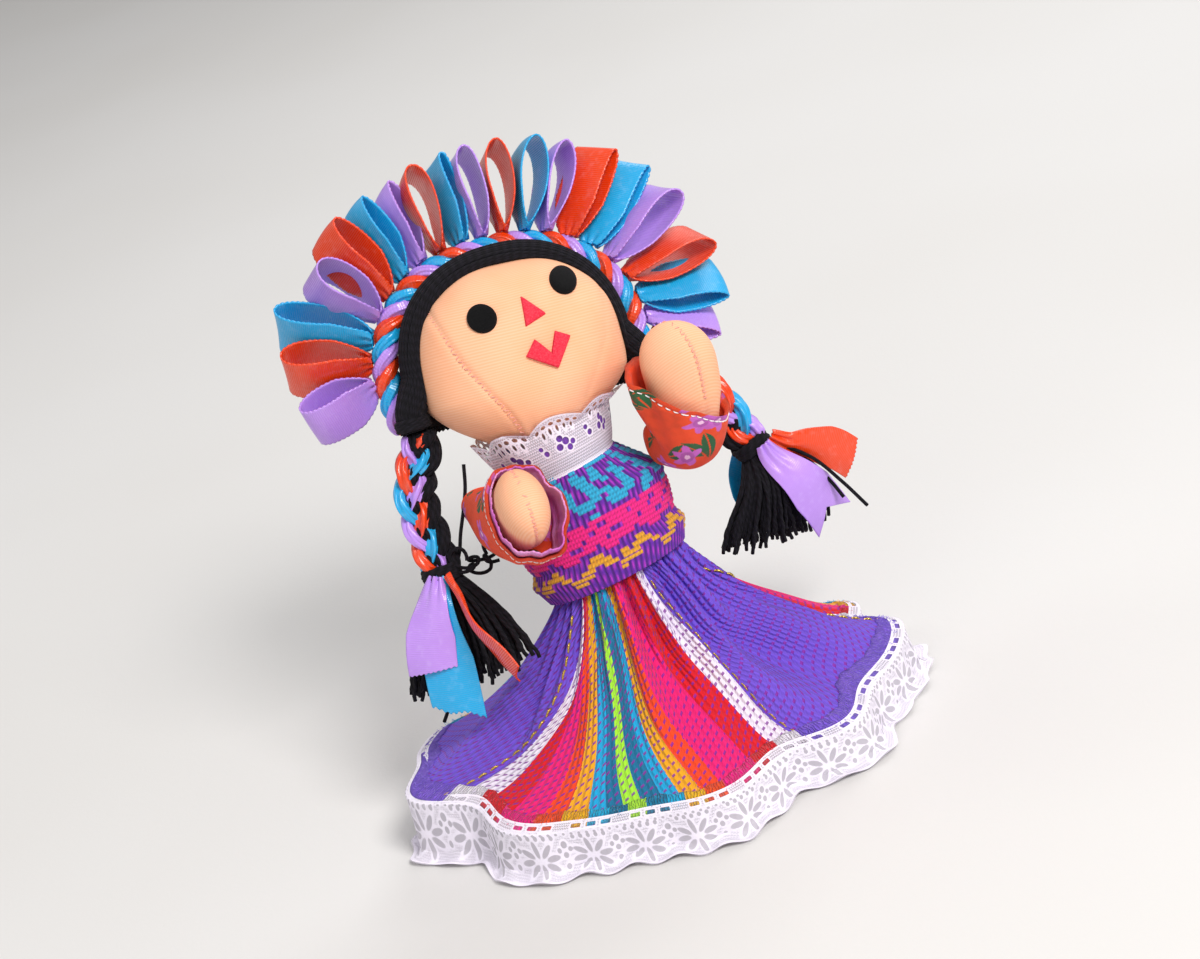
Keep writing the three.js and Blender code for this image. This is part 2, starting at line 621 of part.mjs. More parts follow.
function tiePlace(side) {
  const headHere = HEAD_HALF[0] * (1 - Math.abs(TIE_TOP / HEAD_HALF[2]) ** HEAD_FULL) ** (1 / HEAD_FULL);
  return vec(side * (headHere + SEAT_GAP + TIE_RADIUS), ROLL_AT, TIE_TOP - TIE_HEIGHT);
}

function hairTie(side) {
  const { x, y, z } = tiePlace(side);
  return named(`hair_tie_${sideName(side)}`, drum(TIE_RADIUS, TIE_HEIGHT).translate(x, y, z), "hair");
}

// A drum with rounded edges, standing on its lower end.
function drum(radius, height) {
  const edge = Math.min(height, radius) * 0.35;
  const side = [[radius - edge, 0], [radius, edge], [radius, height - edge], [radius - edge, height]];
  const profile = [[0, 0], ...side, [0, height]].map((p) => new THREE.Vector2(...p));
  return closed(new THREE.LatheGeometry(profile, 14).rotateX(Math.PI / 2));
}

// Braids hang from the ties. Each place is given from the tie's lower end, in the standing doll's directions.
const BRAIDS = {
  right: { end: [-3.6, -6, -20], bow: [-1.6, 0.5, 1], tassel: [-4.2, -2.5, -18], fan: [0.94, -0.34, 0] },
  left: { end: [12, -0.5, -16], bow: [2.4, 1.5, 0.6], tassel: [1.5, 2.5, -17], fan: [0.92, 0.4, 0] },
};

function braidParts(side) {
  const name = sideName(side);
  const { end, bow, tassel, fan } = BRAIDS[name];
  const root = head.localToWorld(tiePlace(side)).add(vec(0, 0, -SEAT_GAP));
  const finish = root.clone().add(vec(...end));
  const middle = root.clone().lerp(finish, 0.5).add(vec(...bow));
  const below = root.clone().add(vec(side * 0.4, 0, -3));
  const line = new THREE.CatmullRomCurve3([root, below, middle, finish]);
  const depth = vec(0, 1, 0);
  const reach = line.getLength();
  const slope = (2 * Math.PI * BRAID_TURNS * Math.hypot(BRAID_SWAY, 2 * BRAID_DEPTH)) / reach;
  const capReach = BRAID_STRAND * Math.sin(Math.atan(slope)); // of a strand's slanted end, past its middle
  const from = (capReach + SEAT_GAP) / reach;
  const strands = [0, 1, 2].map((k) => {
    const points = Array.from({ length: BRAID_STEPS + 1 }, (_, i) => {
      const t = mix(from, 1, i / BRAID_STEPS);
      const phase = 2 * Math.PI * (BRAID_TURNS * t + k / 3);
      const [back, sideway] = sideways(line.getTangentAt(t), depth);
      return line.getPointAt(t).addScaledVector(sideway, BRAID_SWAY * Math.sin(phase))
        .addScaledVector(back, BRAID_DEPTH * Math.sin(2 * phase));
    });
    return closed(tube(points, BRAID_STRAND, 5, BRAID_STEPS));
  });
  const down = line.getTangentAt(1);
  const standing = new THREE.Quaternion().setFromUnitVectors(vec(0, 0, -1), down);
  const place = (geometry, at) => geometry.applyQuaternion(standing).translate(at.x, at.y, at.z);
  const tieTop = finish.clone().addScaledVector(down, capReach + SEAT_GAP);
  const tie = place(drum(BRAID_TIE[0], BRAID_TIE[1]).translate(0, 0, -BRAID_TIE[1]), tieTop);
  const tasselTop = tieTop.clone().addScaledVector(down, BRAID_TIE[1] + SEAT_GAP);
  const tasselLine = new THREE.CatmullRomCurve3([
    tasselTop, tasselTop.clone().addScaledVector(down, 5), tasselTop.clone().add(vec(...tassel))]);
  const spread = (t) => Math.sin((Math.min(1, t * 1.25) * Math.PI) / 2);
  const brush = fromRings(formAlong(tasselLine, vec(...fan), (t) =>
    [mix(2.4, TASSEL_HALF[0], spread(t)), mix(2.4, TASSEL_HALF[1], spread(t))], 7, 14));
  const forwards = vec(...fan).cross(vec(0, 0, 1));
  const tails = TAILS[name].map(([colour, width, line, lies]) => {
    const points = line.map(([a, b, c]) =>
      tasselTop.clone().addScaledVector(vec(...tassel), c / tassel[2])
        .addScaledVector(vec(...fan), a).addScaledVector(forwards, b));
    const smooth = new THREE.CatmullRomCurve3(points).getPoints(TAIL_STEPS);
    const across = lies ? vec(...lies) : vec(...fan);
    const spreading = (t) => mix(0.5 * width, width, Math.min(1, 4 * t));
    return named(`tail_${colour}_${name}`, ribbon(smooth, across, spreading), colour);
  });
  return [
    ...tails,
    named(`braid_${name}`, join(...strands), "hair"),
    named(`braid_tie_${name}`, tie, "hair"),
    named(`tassel_${name}`, brush, "hair"),
  ];
}

head.add(hairTie(-1), hairTie(1));
doll.add(...braidParts(-1), ...braidParts(1));

// Arms and their sleeves
function armParts(side) {
  const name = sideName(side);
  const line = new THREE.CatmullRomCurve3((side < 0 ? ARM_RIGHT : ARM_LEFT).map((p) => vec(...p)));
  const half = (t) => {
    const swell = Math.sin((Math.min(1, t * 1.15) * Math.PI) / 2);
    const tip = Math.sqrt(Math.max(0.04, 1 - Math.pow(Math.max(0, (t - 0.74) / 0.26), 2.4)));
    const start = Math.sqrt(Math.min(1, 0.2 + t / 0.08));
    return [0, 1].map((i) => mix(ARM_SHOULDER[i], ARM_HAND[i], swell) * tip * start);
  };
  const across = vec(...(side < 0 ? ACROSS_RIGHT : ACROSS_LEFT));
  const arm = fromRings(formAlong(line, across, half, ARM_STEPS, ARM_SIDES));
  const room = (t) => SLEEVE_ROOM + SLEEVE_LOOSE * Math.min(1, (t * ARM_STEPS) / SLEEVE_STEPS) ** 2;
  const [from, to] = [1, 1 + SLEEVE_STEPS].map((step) => step / ARM_STEPS);
  const wall = (cloth) => {
    const around = (t) => half(t).map((h) => h + room(t) + cloth);
    return formAlong(line, across, around, SLEEVE_STEPS, ARM_SIDES, from, to);
  };
  const sleeve = fromRings([...wall(SLEEVE_CLOTH), ...wall(0).reverse()], true);
  return [named(`arm_${name}`, arm, "skin"), named(`sleeve_${name}`, sleeve, "print")];
}

torso.add(...armParts(-1), ...armParts(1));

// Legs: each hangs straight down from a round hip below the body.
function legParts(side) {
  const name = sideName(side);
  const hipBelow = TORSO[0][0] - SEAT_GAP - LEG_RADIUS;
  const hip = vec((side * HIPS_APART) / 2, 0, hipBelow).applyMatrix4(torso.matrixWorld);
  const ankle = SOLE_CLEAR + SHOE_HEIGHT + SEAT_GAP;
  const level = (halfX, halfY, y, z, sides) =>
    ring(sides, (u) => vec(hip.x + halfX * Math.cos(u), y + halfY * Math.sin(u), z));
  const onBall = (d) => [LEG_RADIUS * Math.sin(rad(d)), hip.z + LEG_RADIUS * Math.cos(rad(d))];
  const ball = [7, 32, 57, 82].map(onBall);
  const profile = [...ball, [LEG_RADIUS, hip.z - 2], [ANKLE_RADIUS, ankle + 2], [ANKLE_RADIUS, ankle]];
  const leg = fromRings(profile.map(([r, z]) => level(r, r, hip.y, z, 12)));
  const [halfWide, halfLong] = SHOE_HALF;
  const sole = hip.y + ANKLE_RADIUS + HEEL_BEHIND - halfLong;
  const shoeRows = [[0.86, 0], [1, 0.22], [0.96, 0.52], [0.7, 0.89], [0.6, 1]];
  const shoe = fromRings(shoeRows.map(([share, up]) =>
    level(halfWide * share, halfLong * share, mix(hip.y, sole, share), SOLE_CLEAR + up * SHOE_HEIGHT, 14)));
  return [named(`leg_${name}`, leg, "skin"), named(`shoe_${name}`, shoe, "felt")];
}

doll.add(...legParts(-1), ...legParts(1));

// The origin is the middle of the doll's box, on the table.
doll.updateMatrixWorld(true);
const middle = new THREE.Box3().setFromObject(doll, true).getCenter(vec(0, 0, 0));
doll.position.set(-middle.x, -middle.y, 0);
doll.updateMatrixWorld(true);
export default doll;
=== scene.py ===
"""The looks of a small ribbon-crowned rag doll: cloth, lace, yarn, felt and satin over its CAD frame."""

import bmesh
import bpy
import numpy as np
from mathutils import Matrix


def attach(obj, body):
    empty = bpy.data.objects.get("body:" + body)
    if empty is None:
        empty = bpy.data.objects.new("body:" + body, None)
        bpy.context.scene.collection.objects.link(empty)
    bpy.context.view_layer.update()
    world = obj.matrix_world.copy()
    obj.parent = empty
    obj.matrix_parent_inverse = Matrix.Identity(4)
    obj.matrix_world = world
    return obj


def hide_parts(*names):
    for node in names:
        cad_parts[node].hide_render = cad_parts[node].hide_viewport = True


bl_info = {
    "name": "Ribbon-crowned rag doll",
    "version": (1, 0, 0),
    "blender": (4, 5, 0),
    "location": "View3D > Sidebar > Rag doll",
    "description": "Dresses a small rag doll in cloth, lace, yarn, felt and satin ribbon",
    "category": "Object",
}

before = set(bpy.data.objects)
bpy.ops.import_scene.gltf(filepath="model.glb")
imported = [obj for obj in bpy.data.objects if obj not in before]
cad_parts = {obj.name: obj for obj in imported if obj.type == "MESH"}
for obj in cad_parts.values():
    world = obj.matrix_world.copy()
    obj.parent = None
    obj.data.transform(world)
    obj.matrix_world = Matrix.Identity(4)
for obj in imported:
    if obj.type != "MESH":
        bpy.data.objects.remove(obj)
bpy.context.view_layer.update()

MM = 0.001
FULL_TURN = 2 * np.pi

# Sizes of the part, in millimetres and degrees
MIDDLE_OF_FOOT = (-0.97465, 0.38729, 0.0)
WAIST_AT = (1.5, 2.0, 33.5)
TORSO_PROFILE = np.array([
    [-8.5, 8.4, 6.8], [-7.4, 9.6, 7.8], [-4, 10.2, 8.2], [0, 9.7, 7.8], [4, 11.4, 8.4], [9, 12.6, 8.6],
    [14, 13.2, 8.4], [17.5, 10, 7.6], [20.6, 7.4, 6.4], [22.8, 5.8, 5.4], [24.4, 4.6, 4.6],
])
SEAT_GAP = 0.3
BLOUSE_CLOTH = 1.3
BLOUSE_TOP = 22.6
WAISTBAND = 2.6
SKIRT_CLOTH = 1.2
COLLAR_FOOT = 20.8
COLLAR_TALL = 10.2
COLLAR_ROUND = 74
COLLAR_SCALLOPS = 8
COLLAR_SPREAD = 3.4
HEM_HALF = (43.2, 34.6)
HEM_BACK = 29.5
FOLD_DEPTH = 2.8
HEAD_HALF = np.array([17.8, 15.4, 15.2])
HEAD_FULL = 2.3
HEAD_TALL = 1.12
JAW_FROM = 4.6
JAW_NARROW = 0.42
JAW_BEND = 1.3
HAIR_HALF = np.array([20, 17.8, 17.8])
HAIR_ASIDE = -0.4
ROLL_DEPTH = 4.2
ROLL_THICK = 2.9
ROLL_TOP = 20.2
ROLL_AT = -0.8
NAPE = -8
TIE_TOP = -4.6
TIE_RADIUS = 2.9
TIE_HEIGHT = 2.6
CROWN_BACK = 5.2
CROWN_STRAND = 0.85
CROWN_LAY = 1.22
CROWN_LUMPS = 9.3  # turns of the crown's ribbons round each other
RIBBON_WIDTH = 8.8
RIBBON_PINCH = 3
RIBBON_THICK = 0.35
COLOURS_IN_TURN = ("purple", "orange", "cyan")
LOOPS = np.array([
    [12.8, 199, 46, 2.6, 2], [14.5, 172, 38, 3.2, 10], [16.5, 157, 40, 3.0, 18], [13.3, 131, 24, 3.4, 2],
    [15.5, 120, 38, 2.4, 9], [15.0, 112, 36, 1.5, 16], [14.5, 105, 30, 1.3, 23], [14.5, 98, 8, 2.6, 12],
    [15.0, 94, 26, 1.1, 20], [15.0, 89, 8, 2.3, 10], [15.5, 80, 4, 2.4, 14], [16.0, 71, 8, 2.4, 8],
    [15.5, 66, 10, 2.2, 14], [16.0, 57, 38, 1.5, 6], [16.5, 49, 50, 1.6, 14], [16.0, 33, 22, 3.1, 8],
    [16.0, 10, 24, 2.6, 10], [15.5, -4, 46, 1.7, 6], [13.0, -14, 46, 1.5, 14], [10.5, -28, 46, 0.9, 6],
    [8.5, -30, 44, 1.0, 14],
])
SIDES = ((-1, "right"), (1, "left"))
BRAID_STRAND = 1.5
BRAID_SWAY = 1.55
BRAID_DEPTH = 0.8
BRAID_TURNS = 1.7
BRAID_TIE = (3.3, 2.8)
TASSEL_HALF = (9, 4.6)
BRAIDS = {
    "right": dict(end=(-3.6, -6, -20), bow=(-1.6, 0.5, 1), tassel=(-4.2, -2.5, -18), fan=(0.94, -0.34, 0)),
    "left": dict(end=(12, -0.5, -16), bow=(2.4, 1.5, 0.6), tassel=(1.5, 2.5, -17), fan=(0.92, 0.4, 0)),
}
TAILS = {
    "right": (
        ("purple", 8.6, ((-1, 4, 0), (-1.6, 5.6, -4.2), (-1.8, 6.3, -8.4), (-1.8, 6.5, -12.6)), None,
         "slant"),
        ("cyan", 9, ((-0.4, 3.3, 0), (0, 4.8, -5.5), (0.8, 5.4, -11), (1.4, 5.5, -16.5), (2, 5.5, -21)),
         None, "ragged"),
        ("orange", 7.4, ((3.6, 4.4, 0), (7, 8, -4.6), (11.5, 9.4, -9.4), (15, 9.8, -14)), (0.2, -0.9, 0.4),
         "slant"),
    ),
    "left": (
        ("purple", 8.4, ((0.4, 4, 0), (2.2, 6.9, -5), (4, 7.2, -10.6), (5.6, 6.6, -16.4)), None, "notch"),
        ("cyan", 7.6, ((-0.6, -3.8, -0.4), (-1.2, -5.6, -5.4), (-1.2, -5.8, -11), (-1, -5.8, -16)), None,
         "ragged"),
        ("orange", 7, ((4.4, 3.4, 0.4), (7.6, 5, -1), (11.2, 5.4, -4), (14.2, 5.4, -8.4)), (0.5, 0.1, 0.85),
         "slant"),
    ),
}
INNER_SPREAD = {"right": 9.0, "left": 7.5}  # how much further a tassel's inner yarns reach
STRAYS = {
    "right": (
        ((0.5, 0, 1.5), (3.4, 0.6, 3), (5.4, 1.6, 7), (8.4, 4, 13), (9.6, 5.4, 17)),
        ((0, -1, 1), (-2.6, -3, -6), (-3.4, -4, -14), (-6.5, -4, -20.5), (-8.2, -4, -23)),
    ),
    "left": (
        ((0, 0, 1), (4, -1, 0.2), (8.4, -2.6, -3), (12, -4, -8.4), (15, -5, -14)),
        ((0, 0.4, 1), (4.4, 0, -0.4), (8, -1.4, -4.2), (10.4, -2.6, -8.6), (11.6, -4, -11.5)),
    ),
}
ARMS = {
    "right": ((-15.6, -1, 21), (-14, -8, 18.3), (-8.8, -16.8, 19), (-6.2, -24, 23.3)),
    "left": ((15.9, -0.5, 17.5), (20.8, -7.4, 15.8), (24, -11.4, 24), (26.6, -15.2, 36)),
}
ARM_ACROSS = {"right": (1, 0, 0), "left": (-0.3, -0.8, -0.5)}
ARM_SHOULDER = (2.5, 3.6)
HAND_SEAM_AT = {"right": 90, "left": 38}
CUFF_AT = {"right": 0.7, "left": 0.8}
CUFF_ROOM = {"right": 1.2, "left": 1.0}
CUFF_UNEVEN = {"right": 0.85, "left": 0.5}  # share of the room that goes from one side to the other
CUFF_WIDE_AT = {"right": -35, "left": -90}
CUFF_SLANT = {"right": 0.0, "left": 0.34}
CUFF_SLANT_AT = {"right": 0, "left": 80}
ARM_HAND = (4.3, 6.4)
ARM_STEPS = 1200
STITCH_RADIUS = 0.085
SLEEVE_ROUND = 34
SLEEVE_REACH = 27
HIPS_APART = 11.4
LEG_RADIUS = 4
ANKLE_RADIUS = 2.6
SHOE_HALF = (3.9, 6)
SHOE_HEIGHT = 5.4
SOLE_CLEAR = 1.6

# The photograph's view, in metres, degrees and millimetres of lens
CAMERA_PLACE = (0.00274, -0.40900, 0.22963)
CAMERA_ABOVE = 23.5
CAMERA_ROLL = 19
CAMERA_LENS = 80

# Face, as places on the front of the head: to her left and up
EYES = ((-6.17, 8.05), (8.74, 10.96))
EYE_RADIUS = 2.35
NOSE = ((0.83, 10.0), (0.21, 5.01), (4.02, 6.26))
MOUTH = ((1.04, 2.69), (-1.04, 0.25), (3.68, -2.77), (6.99, 1.85), (4.62, 3.21), (3.49, -0.44))
HEAD_SEAM = ((-13.9, 13.5), (-13.4, 9.7), (-12.5, 5.9), (-11.3, 2), (-9.7, -1.15), (-7.9, -4.5),
             (-6.4, -6.9), (-4.8, -10), (-3.6, -13))
HEAD_FAINT_SEAM = ((15.6, 11), (15.1, 6.25), (13.65, 0.6), (12.1, -1.8), (10, -5), (7.5, -9))

# Stripes of the skirt's cloth: colour and the angle round the hem where it ends
SKIRT_FROM = 150
STRIPES = (
    ("purple", 205), ("white", 214), ("red", 224), ("magenta", 234), ("orange", 240.5), ("gold", 247),
    ("cyan", 252), ("teal", 256.5), ("lime", 261), ("teal", 266), ("cyan", 270), ("gold", 274.5),
    ("orange", 279), ("magenta", 288), ("red", 296), ("white", 302), ("purple", 378),
    ("white", 382), ("red", 386), ("magenta", 389), ("orange", 388), ("gold", 393), ("cyan", 398),
    ("teal", 402), ("lime", 406), ("teal", 410), ("cyan", 415), ("gold", 420), ("orange", 426),
    ("magenta", 433), ("red", 440), ("white", 445), ("purple", 482), ("white", 487), ("red", 492),
    ("magenta", 497), ("orange", 501), ("gold", 505), ("cyan", 510),
)
# Pleats of the skirt: angle in degrees, half width in degrees, and how far the cloth stands out there
PLEATS = ((248, 7, 2.8), (231, 6, -3.0), (277, 6, -2.2), (290, 7, 1.2), (322, 10, -4.4), (345, 11, 2.6))
# Metal threads: the angle round the hem and the radius
GOLD_THREADS = ((201.5, 0.24), (303, 0.14), (362, 0.24), (448, 0.2))

# Inlay of the blouse, row by row from the top: each letter is a yarn's colour, a dot is the ground
INLAY = (
    "OGOGOGOGOGOGOGOG",
    "................",
    "CCCCC..CC.......",
    "CCCCCC.CC...CC..",
    "CC.....CCC..CC..",
    "CC...C..CC..CCC.",
    "CC..CC..CCC..CC.",
    ".C..CC...CC..CC.",
    "....CC...CCC..CC",
    "CC..CC....CC..CC",
    "CC.CC..CC.CCCCC.",
    "CCCCC..CC..CCC..",
    "CCC...CCC.......",
    "......CC....CC..",
    "PPPP.PPPPPP.PPPP",
    "PP.PPPP.PPPPP.PP",
    "PPPPPP.PPPP.PPPP",
    ".PPP.PPPPP.PPPP.",
    "PPPPPPP..PPPP.PP",
    "PP.PPPPPPPP.PPPP",
    ".....PPP.....PP.",
    "..GG......GG....",
    ".GGGG....GGGG..G",
    "GG..GG..GG..GG.G",
    "G....GGGG....GGG",
    "......GG......G.",
    "................",
    "................",
)


def srgb(code):
    """A colour written as six hexadecimal digits, as the light that it sends."""
    share = np.array([int(code[i:i + 2], 16) for i in (0, 2, 4)]) / 255
    return tuple(np.where(share <= 0.04045, share / 12.92, ((share + 0.055) / 1.055) ** 2.4))


def colour(name, code, about="Stripe of the skirt"):
    return bpy.props.FloatVectorProperty(
        name=name, description=about, subtype="COLOR", size=3, min=0, max=1, default=srgb(code))


def length(name, default, about):
    return bpy.props.FloatProperty(
        name=name, description=about, default=default, min=0.05, soft_max=20)


class RagDollColours(bpy.types.PropertyGroup):
    """Colours of the cloths, yarns and ribbons."""
    skin: colour("Skin", "FCC19C", "Light peach cotton of the head and the hands")
    # A darker peach: the cotton's random mottling, and painted shade in the hollows between its ribs.
    skin_shade: colour("Skin, folds", "F39C66", "Peach cotton where it is gathered")
    hair: colour("Hair", "08070B", "Matte black yarn of the hair")
    eye_felt: colour("Eyes", "050507", "Black felt")
    red_felt: colour("Nose and mouth", "F52D48", "Red felt")
    purple: colour("Purple ribbon", "C294F2", "Satin")
    orange: colour("Orange ribbon", "F2440F", "Satin")
    cyan: colour("Cyan ribbon", "1CACE8", "Satin")
    lace: colour("Lace", "F3EDFB", "Cotton thread of the collar and the hem")
    ground: colour("Blouse ground", "641CA8", "Cloth under the inlay")
    print_ground: colour("Sleeve ground", "EB4A1C", "Printed cotton")
    leaf: colour("Sleeve leaves", "1B6038", "Print on the sleeves")
    flower: colour("Sleeve flowers", "CC66C6", "Print on the sleeves")
    shoe: colour("Shoes", "121015", "Felt")
    stitch: colour("Stitches", "F49A8C", "Sewing thread of the head and the hands")


class RagDollStripes(bpy.types.PropertyGroup):
    """Yarns of the skirt and of the blouse's inlay."""
    purple: colour("Purple", "7350D8")
    white: colour("White", "F4EAFC")
    red: colour("Red", "DE0418")
    magenta: colour("Magenta", "F00E74")
    orange: colour("Orange-red", "F8440A")
    gold: colour("Gold", "F6AA0C")
    cyan: colour("Cyan", "0AA6DC")
    teal: colour("Teal", "04729C")
    lime: colour("Lime", "A6EC34")
    fleck: colour("Fleck", "86209C", "Warp that shows between the floats")
    inlay_cyan: colour("Inlay cyan", "23AAD7", "Frets of the blouse")
    inlay_pink: colour("Inlay pink", "F01482", "Band of the blouse")
    inlay_gold: colour("Inlay gold", "E1A01E", "Zigzags of the blouse")
    inlay_orange: colour("Inlay orange", "EE6A2A", "Top row of the blouse")
    gold_thread: colour("Metal thread", "D9B45A", "Glittering thread beside the stripes")


class RagDollSizes(bpy.types.PropertyGroup):
    """Sizes of what the cloths and yarns are made of, in millimetres."""
    hair_yarn: length("Hair yarn", 0.72, "Diameter of the hair's yarn")
    tassel_yarn: length("Tassel yarn", 0.7, "Diameter of the tassels' yarn")
    stitch: length("Stitch", 1.5, "Length of one stitch of a seam")
    picot: length("Picot", 0.9, "Distance between the picots on a ribbon's edge")
    float_wide: length("Float width", 1.3, "Width of one float of the skirt's yarn")
    float_long: length("Float length", 1.6, "Length of one float of the skirt's yarn")
    lace_repeat: length("Lace repeat", 8.8, "Width of one scallop of the hem's lace")


# Arithmetic on points

def mix(a, b, share):
    return a + (b - a) * share


def bump(at, middle, half):
    """1 at its middle, with a soft fall on both sides."""
    return np.exp(-((at - middle) / half) ** 2)


def full_circle(count):
    return np.linspace(0, FULL_TURN, count)


def xyz(x, y, z):
    """Points from their three measures."""
    return np.stack(np.broadcast_arrays(x, y, z), -1)


def travelled(line):
    """How far along a line each of its points is."""
    return np.concatenate([[0], np.cumsum(np.linalg.norm(np.diff(line, axis=0), axis=1))])


def unit(vectors):
    return vectors / np.maximum(np.linalg.norm(vectors, axis=-1, keepdims=True), 1e-12)


def turned(x, y, z):
    """Three turns as one: about Y, then about the turned X, then about the turned Z, in degrees."""
    (cx, cy, cz), (sx, sy, sz) = (f(np.radians([x, y, z])) for f in (np.cos, np.sin))
    about_x = np.array([[1, 0, 0], [0, cx, -sx], [0, sx, cx]])
    about_y = np.array([[cy, 0, sy], [0, 1, 0], [-sy, 0, cy]])
    about_z = np.array([[cz, -sz, 0], [sz, cz, 0], [0, 0, 1]])
    return about_y @ about_x @ about_z


class Place:
    """A frame that stands in another: a point is turned, then moved by the frame's origin."""

    def __init__(self, origin, turn=None, within=None):
        turn = np.eye(3) if turn is None else turn
        self.origin = np.array(origin, float) if within is None else within.out(np.array(origin, float))
        self.turn = turn if within is None else within.turn @ turn

    def out(self, points):
        return np.asarray(points, float) @ self.turn.T + self.origin

    def inwards(self, points):
        return (np.asarray(points, float) - self.origin) @ self.turn


STANDING = Place(MIDDLE_OF_FOOT)
TORSO = Place(WAIST_AT, turned(-15, -8, 0), STANDING)
NECK = Place((0, 0, TORSO_PROFILE[-1, 0] + SEAT_GAP), turned(-6, 12, 10), TORSO)
HEAD = Place((-1.8, 0, HEAD_HALF[2] * 0.985), None, NECK)


def curve(points, steps):
    """A smooth line through points, at equal shares of its length. Each span is a cubic whose end slopes
    come from the points on both sides, weighted by the square roots of their distances."""
    p = np.asarray(points, float)
    p = np.vstack([2 * p[0] - p[1], p, 2 * p[-1] - p[-2]])
    gaps = np.sqrt(np.linalg.norm(np.diff(p, axis=0), axis=1))[:, None]
    a, b, c, d = p[:-3], p[1:-2], p[2:-1], p[3:]
    g0, g1, g2 = gaps[:-2], gaps[1:-1], gaps[2:]
    slope_b = ((b - a) / g0 - (c - a) / (g0 + g1) + (c - b) / g1) * g1
    slope_c = ((c - b) / g1 - (d - b) / (g1 + g2) + (d - c) / g2) * g1
    t = np.linspace(0, 1, 60, endpoint=False)[None, :, None]
    b, c, slope_b, slope_c = (x[:, None] for x in (b, c, slope_b, slope_c))
    square = 3 * (c - b) - 2 * slope_b - slope_c
    cube = 2 * (b - c) + slope_b + slope_c
    fine = b + slope_b * t + square * t**2 + cube * t**3
    fine = np.vstack([fine.reshape(-1, 3), p[-2]])
    far = travelled(fine)
    at = np.linspace(0, 1, steps) * far[-1]
    return np.stack([np.interp(at, far, fine[:, k]) for k in range(3)], -1)


def along(line):
    return unit(np.gradient(line, axis=-2))


def sideways(line, across):
    """The direction square to a line that lies nearest to "across", and the one square to both."""
    ahead = along(line)
    across = np.broadcast_to(np.asarray(across, float), ahead.shape)
    side = unit(across - ahead * (across * ahead).sum(-1, keepdims=True))
    return side, np.cross(ahead, side)


# Surfaces

def shell(grid, u=None, v=None, paint=None):
    """A grid of points, rows by columns, as four-sided faces. u goes along the rows and v down them."""
    rows, columns = grid.shape[:2]
    u = np.linspace(0, 1, columns) if u is None else u
    v = np.linspace(0, 1, rows)[:, None] if v is None else v
    uv = np.stack([np.broadcast_to(u, (rows, columns)), np.broadcast_to(v, (rows, columns))], -1)
    at = np.arange(rows * columns).reshape(rows, columns)
    faces = np.stack([at[:-1, :-1], at[:-1, 1:], at[1:, 1:], at[1:, :-1]], -1).reshape(-1, 4)
    return dict(points=grid.reshape(-1, 3), faces=faces, uv=uv.reshape(-1, 2),
                paint=None if paint is None else np.broadcast_to(paint, grid.shape).reshape(-1, 3))


def shells(grids, u=None, v=None):
    """Many like grids at once: the first axis counts them."""
    many, rows, columns = grids.shape[:3]
    one = shell(grids[0], u, v)
    faces = one["faces"][None] + np.arange(many)[:, None, None] * rows * columns
    return dict(points=grids.reshape(-1, 3), faces=faces.reshape(-1, 4), uv=np.tile(one["uv"], (many, 1)),
                paint=None)


def joined(parts):
    starts = np.cumsum([0] + [len(part["points"]) for part in parts[:-1]])
    paint = None
    if parts[0]["paint"] is not None:
        paint = np.concatenate([part["paint"] for part in parts])
    return dict(points=np.concatenate([part["points"] for part in parts]),
                faces=np.concatenate([part["faces"] + start for part, start in zip(parts, starts)]),
                uv=np.concatenate([part["uv"] for part in parts]), paint=paint)


def round_section(line, across, half, sides=12, ridges=0.0, waves=6):
    """A round-sectioned form along a line, closed at its ends by rings of no size. half gives its half
    sizes along "across" and square to it; ridges run along it, as shares of its size."""
    side, other = sideways(line, across)
    angle = full_circle(sides + 1)
    swell = 1 + ridges * np.cos(waves * angle)
    a = np.broadcast_to(half[0], line.shape[:-1])[..., None, None]
    b = np.broadcast_to(half[1], line.shape[:-1])[..., None, None]
    ring = a * side[..., None, :] * (np.cos(angle) * swell)[:, None]
    ring = ring + b * other[..., None, :] * (np.sin(angle) * swell)[:, None]
    body = line[..., None, :] + ring
    first = np.broadcast_to(line[..., :1, None, :], body[..., :1, :, :].shape)
    last = np.broadcast_to(line[..., -1:, None, :], body[..., -1:, :, :].shape)
    return np.concatenate([first, body, last], axis=-3)


def yarns(lines, radius, across, sides=7):
    """Round yarns along lines, as one set of shells. u goes round a yarn and v along it, in millimetres."""
    lines = np.asarray(lines, float)
    steps = lines.shape[1]
    reach = travelled(lines[0])[-1]
    radius = np.broadcast_to(radius, lines.shape[:2])
    body = round_section(lines, across, (radius, radius), sides)
    v = np.concatenate([[0], np.linspace(0, reach, steps), [reach]])[:, None]
    return shells(body, v=v)


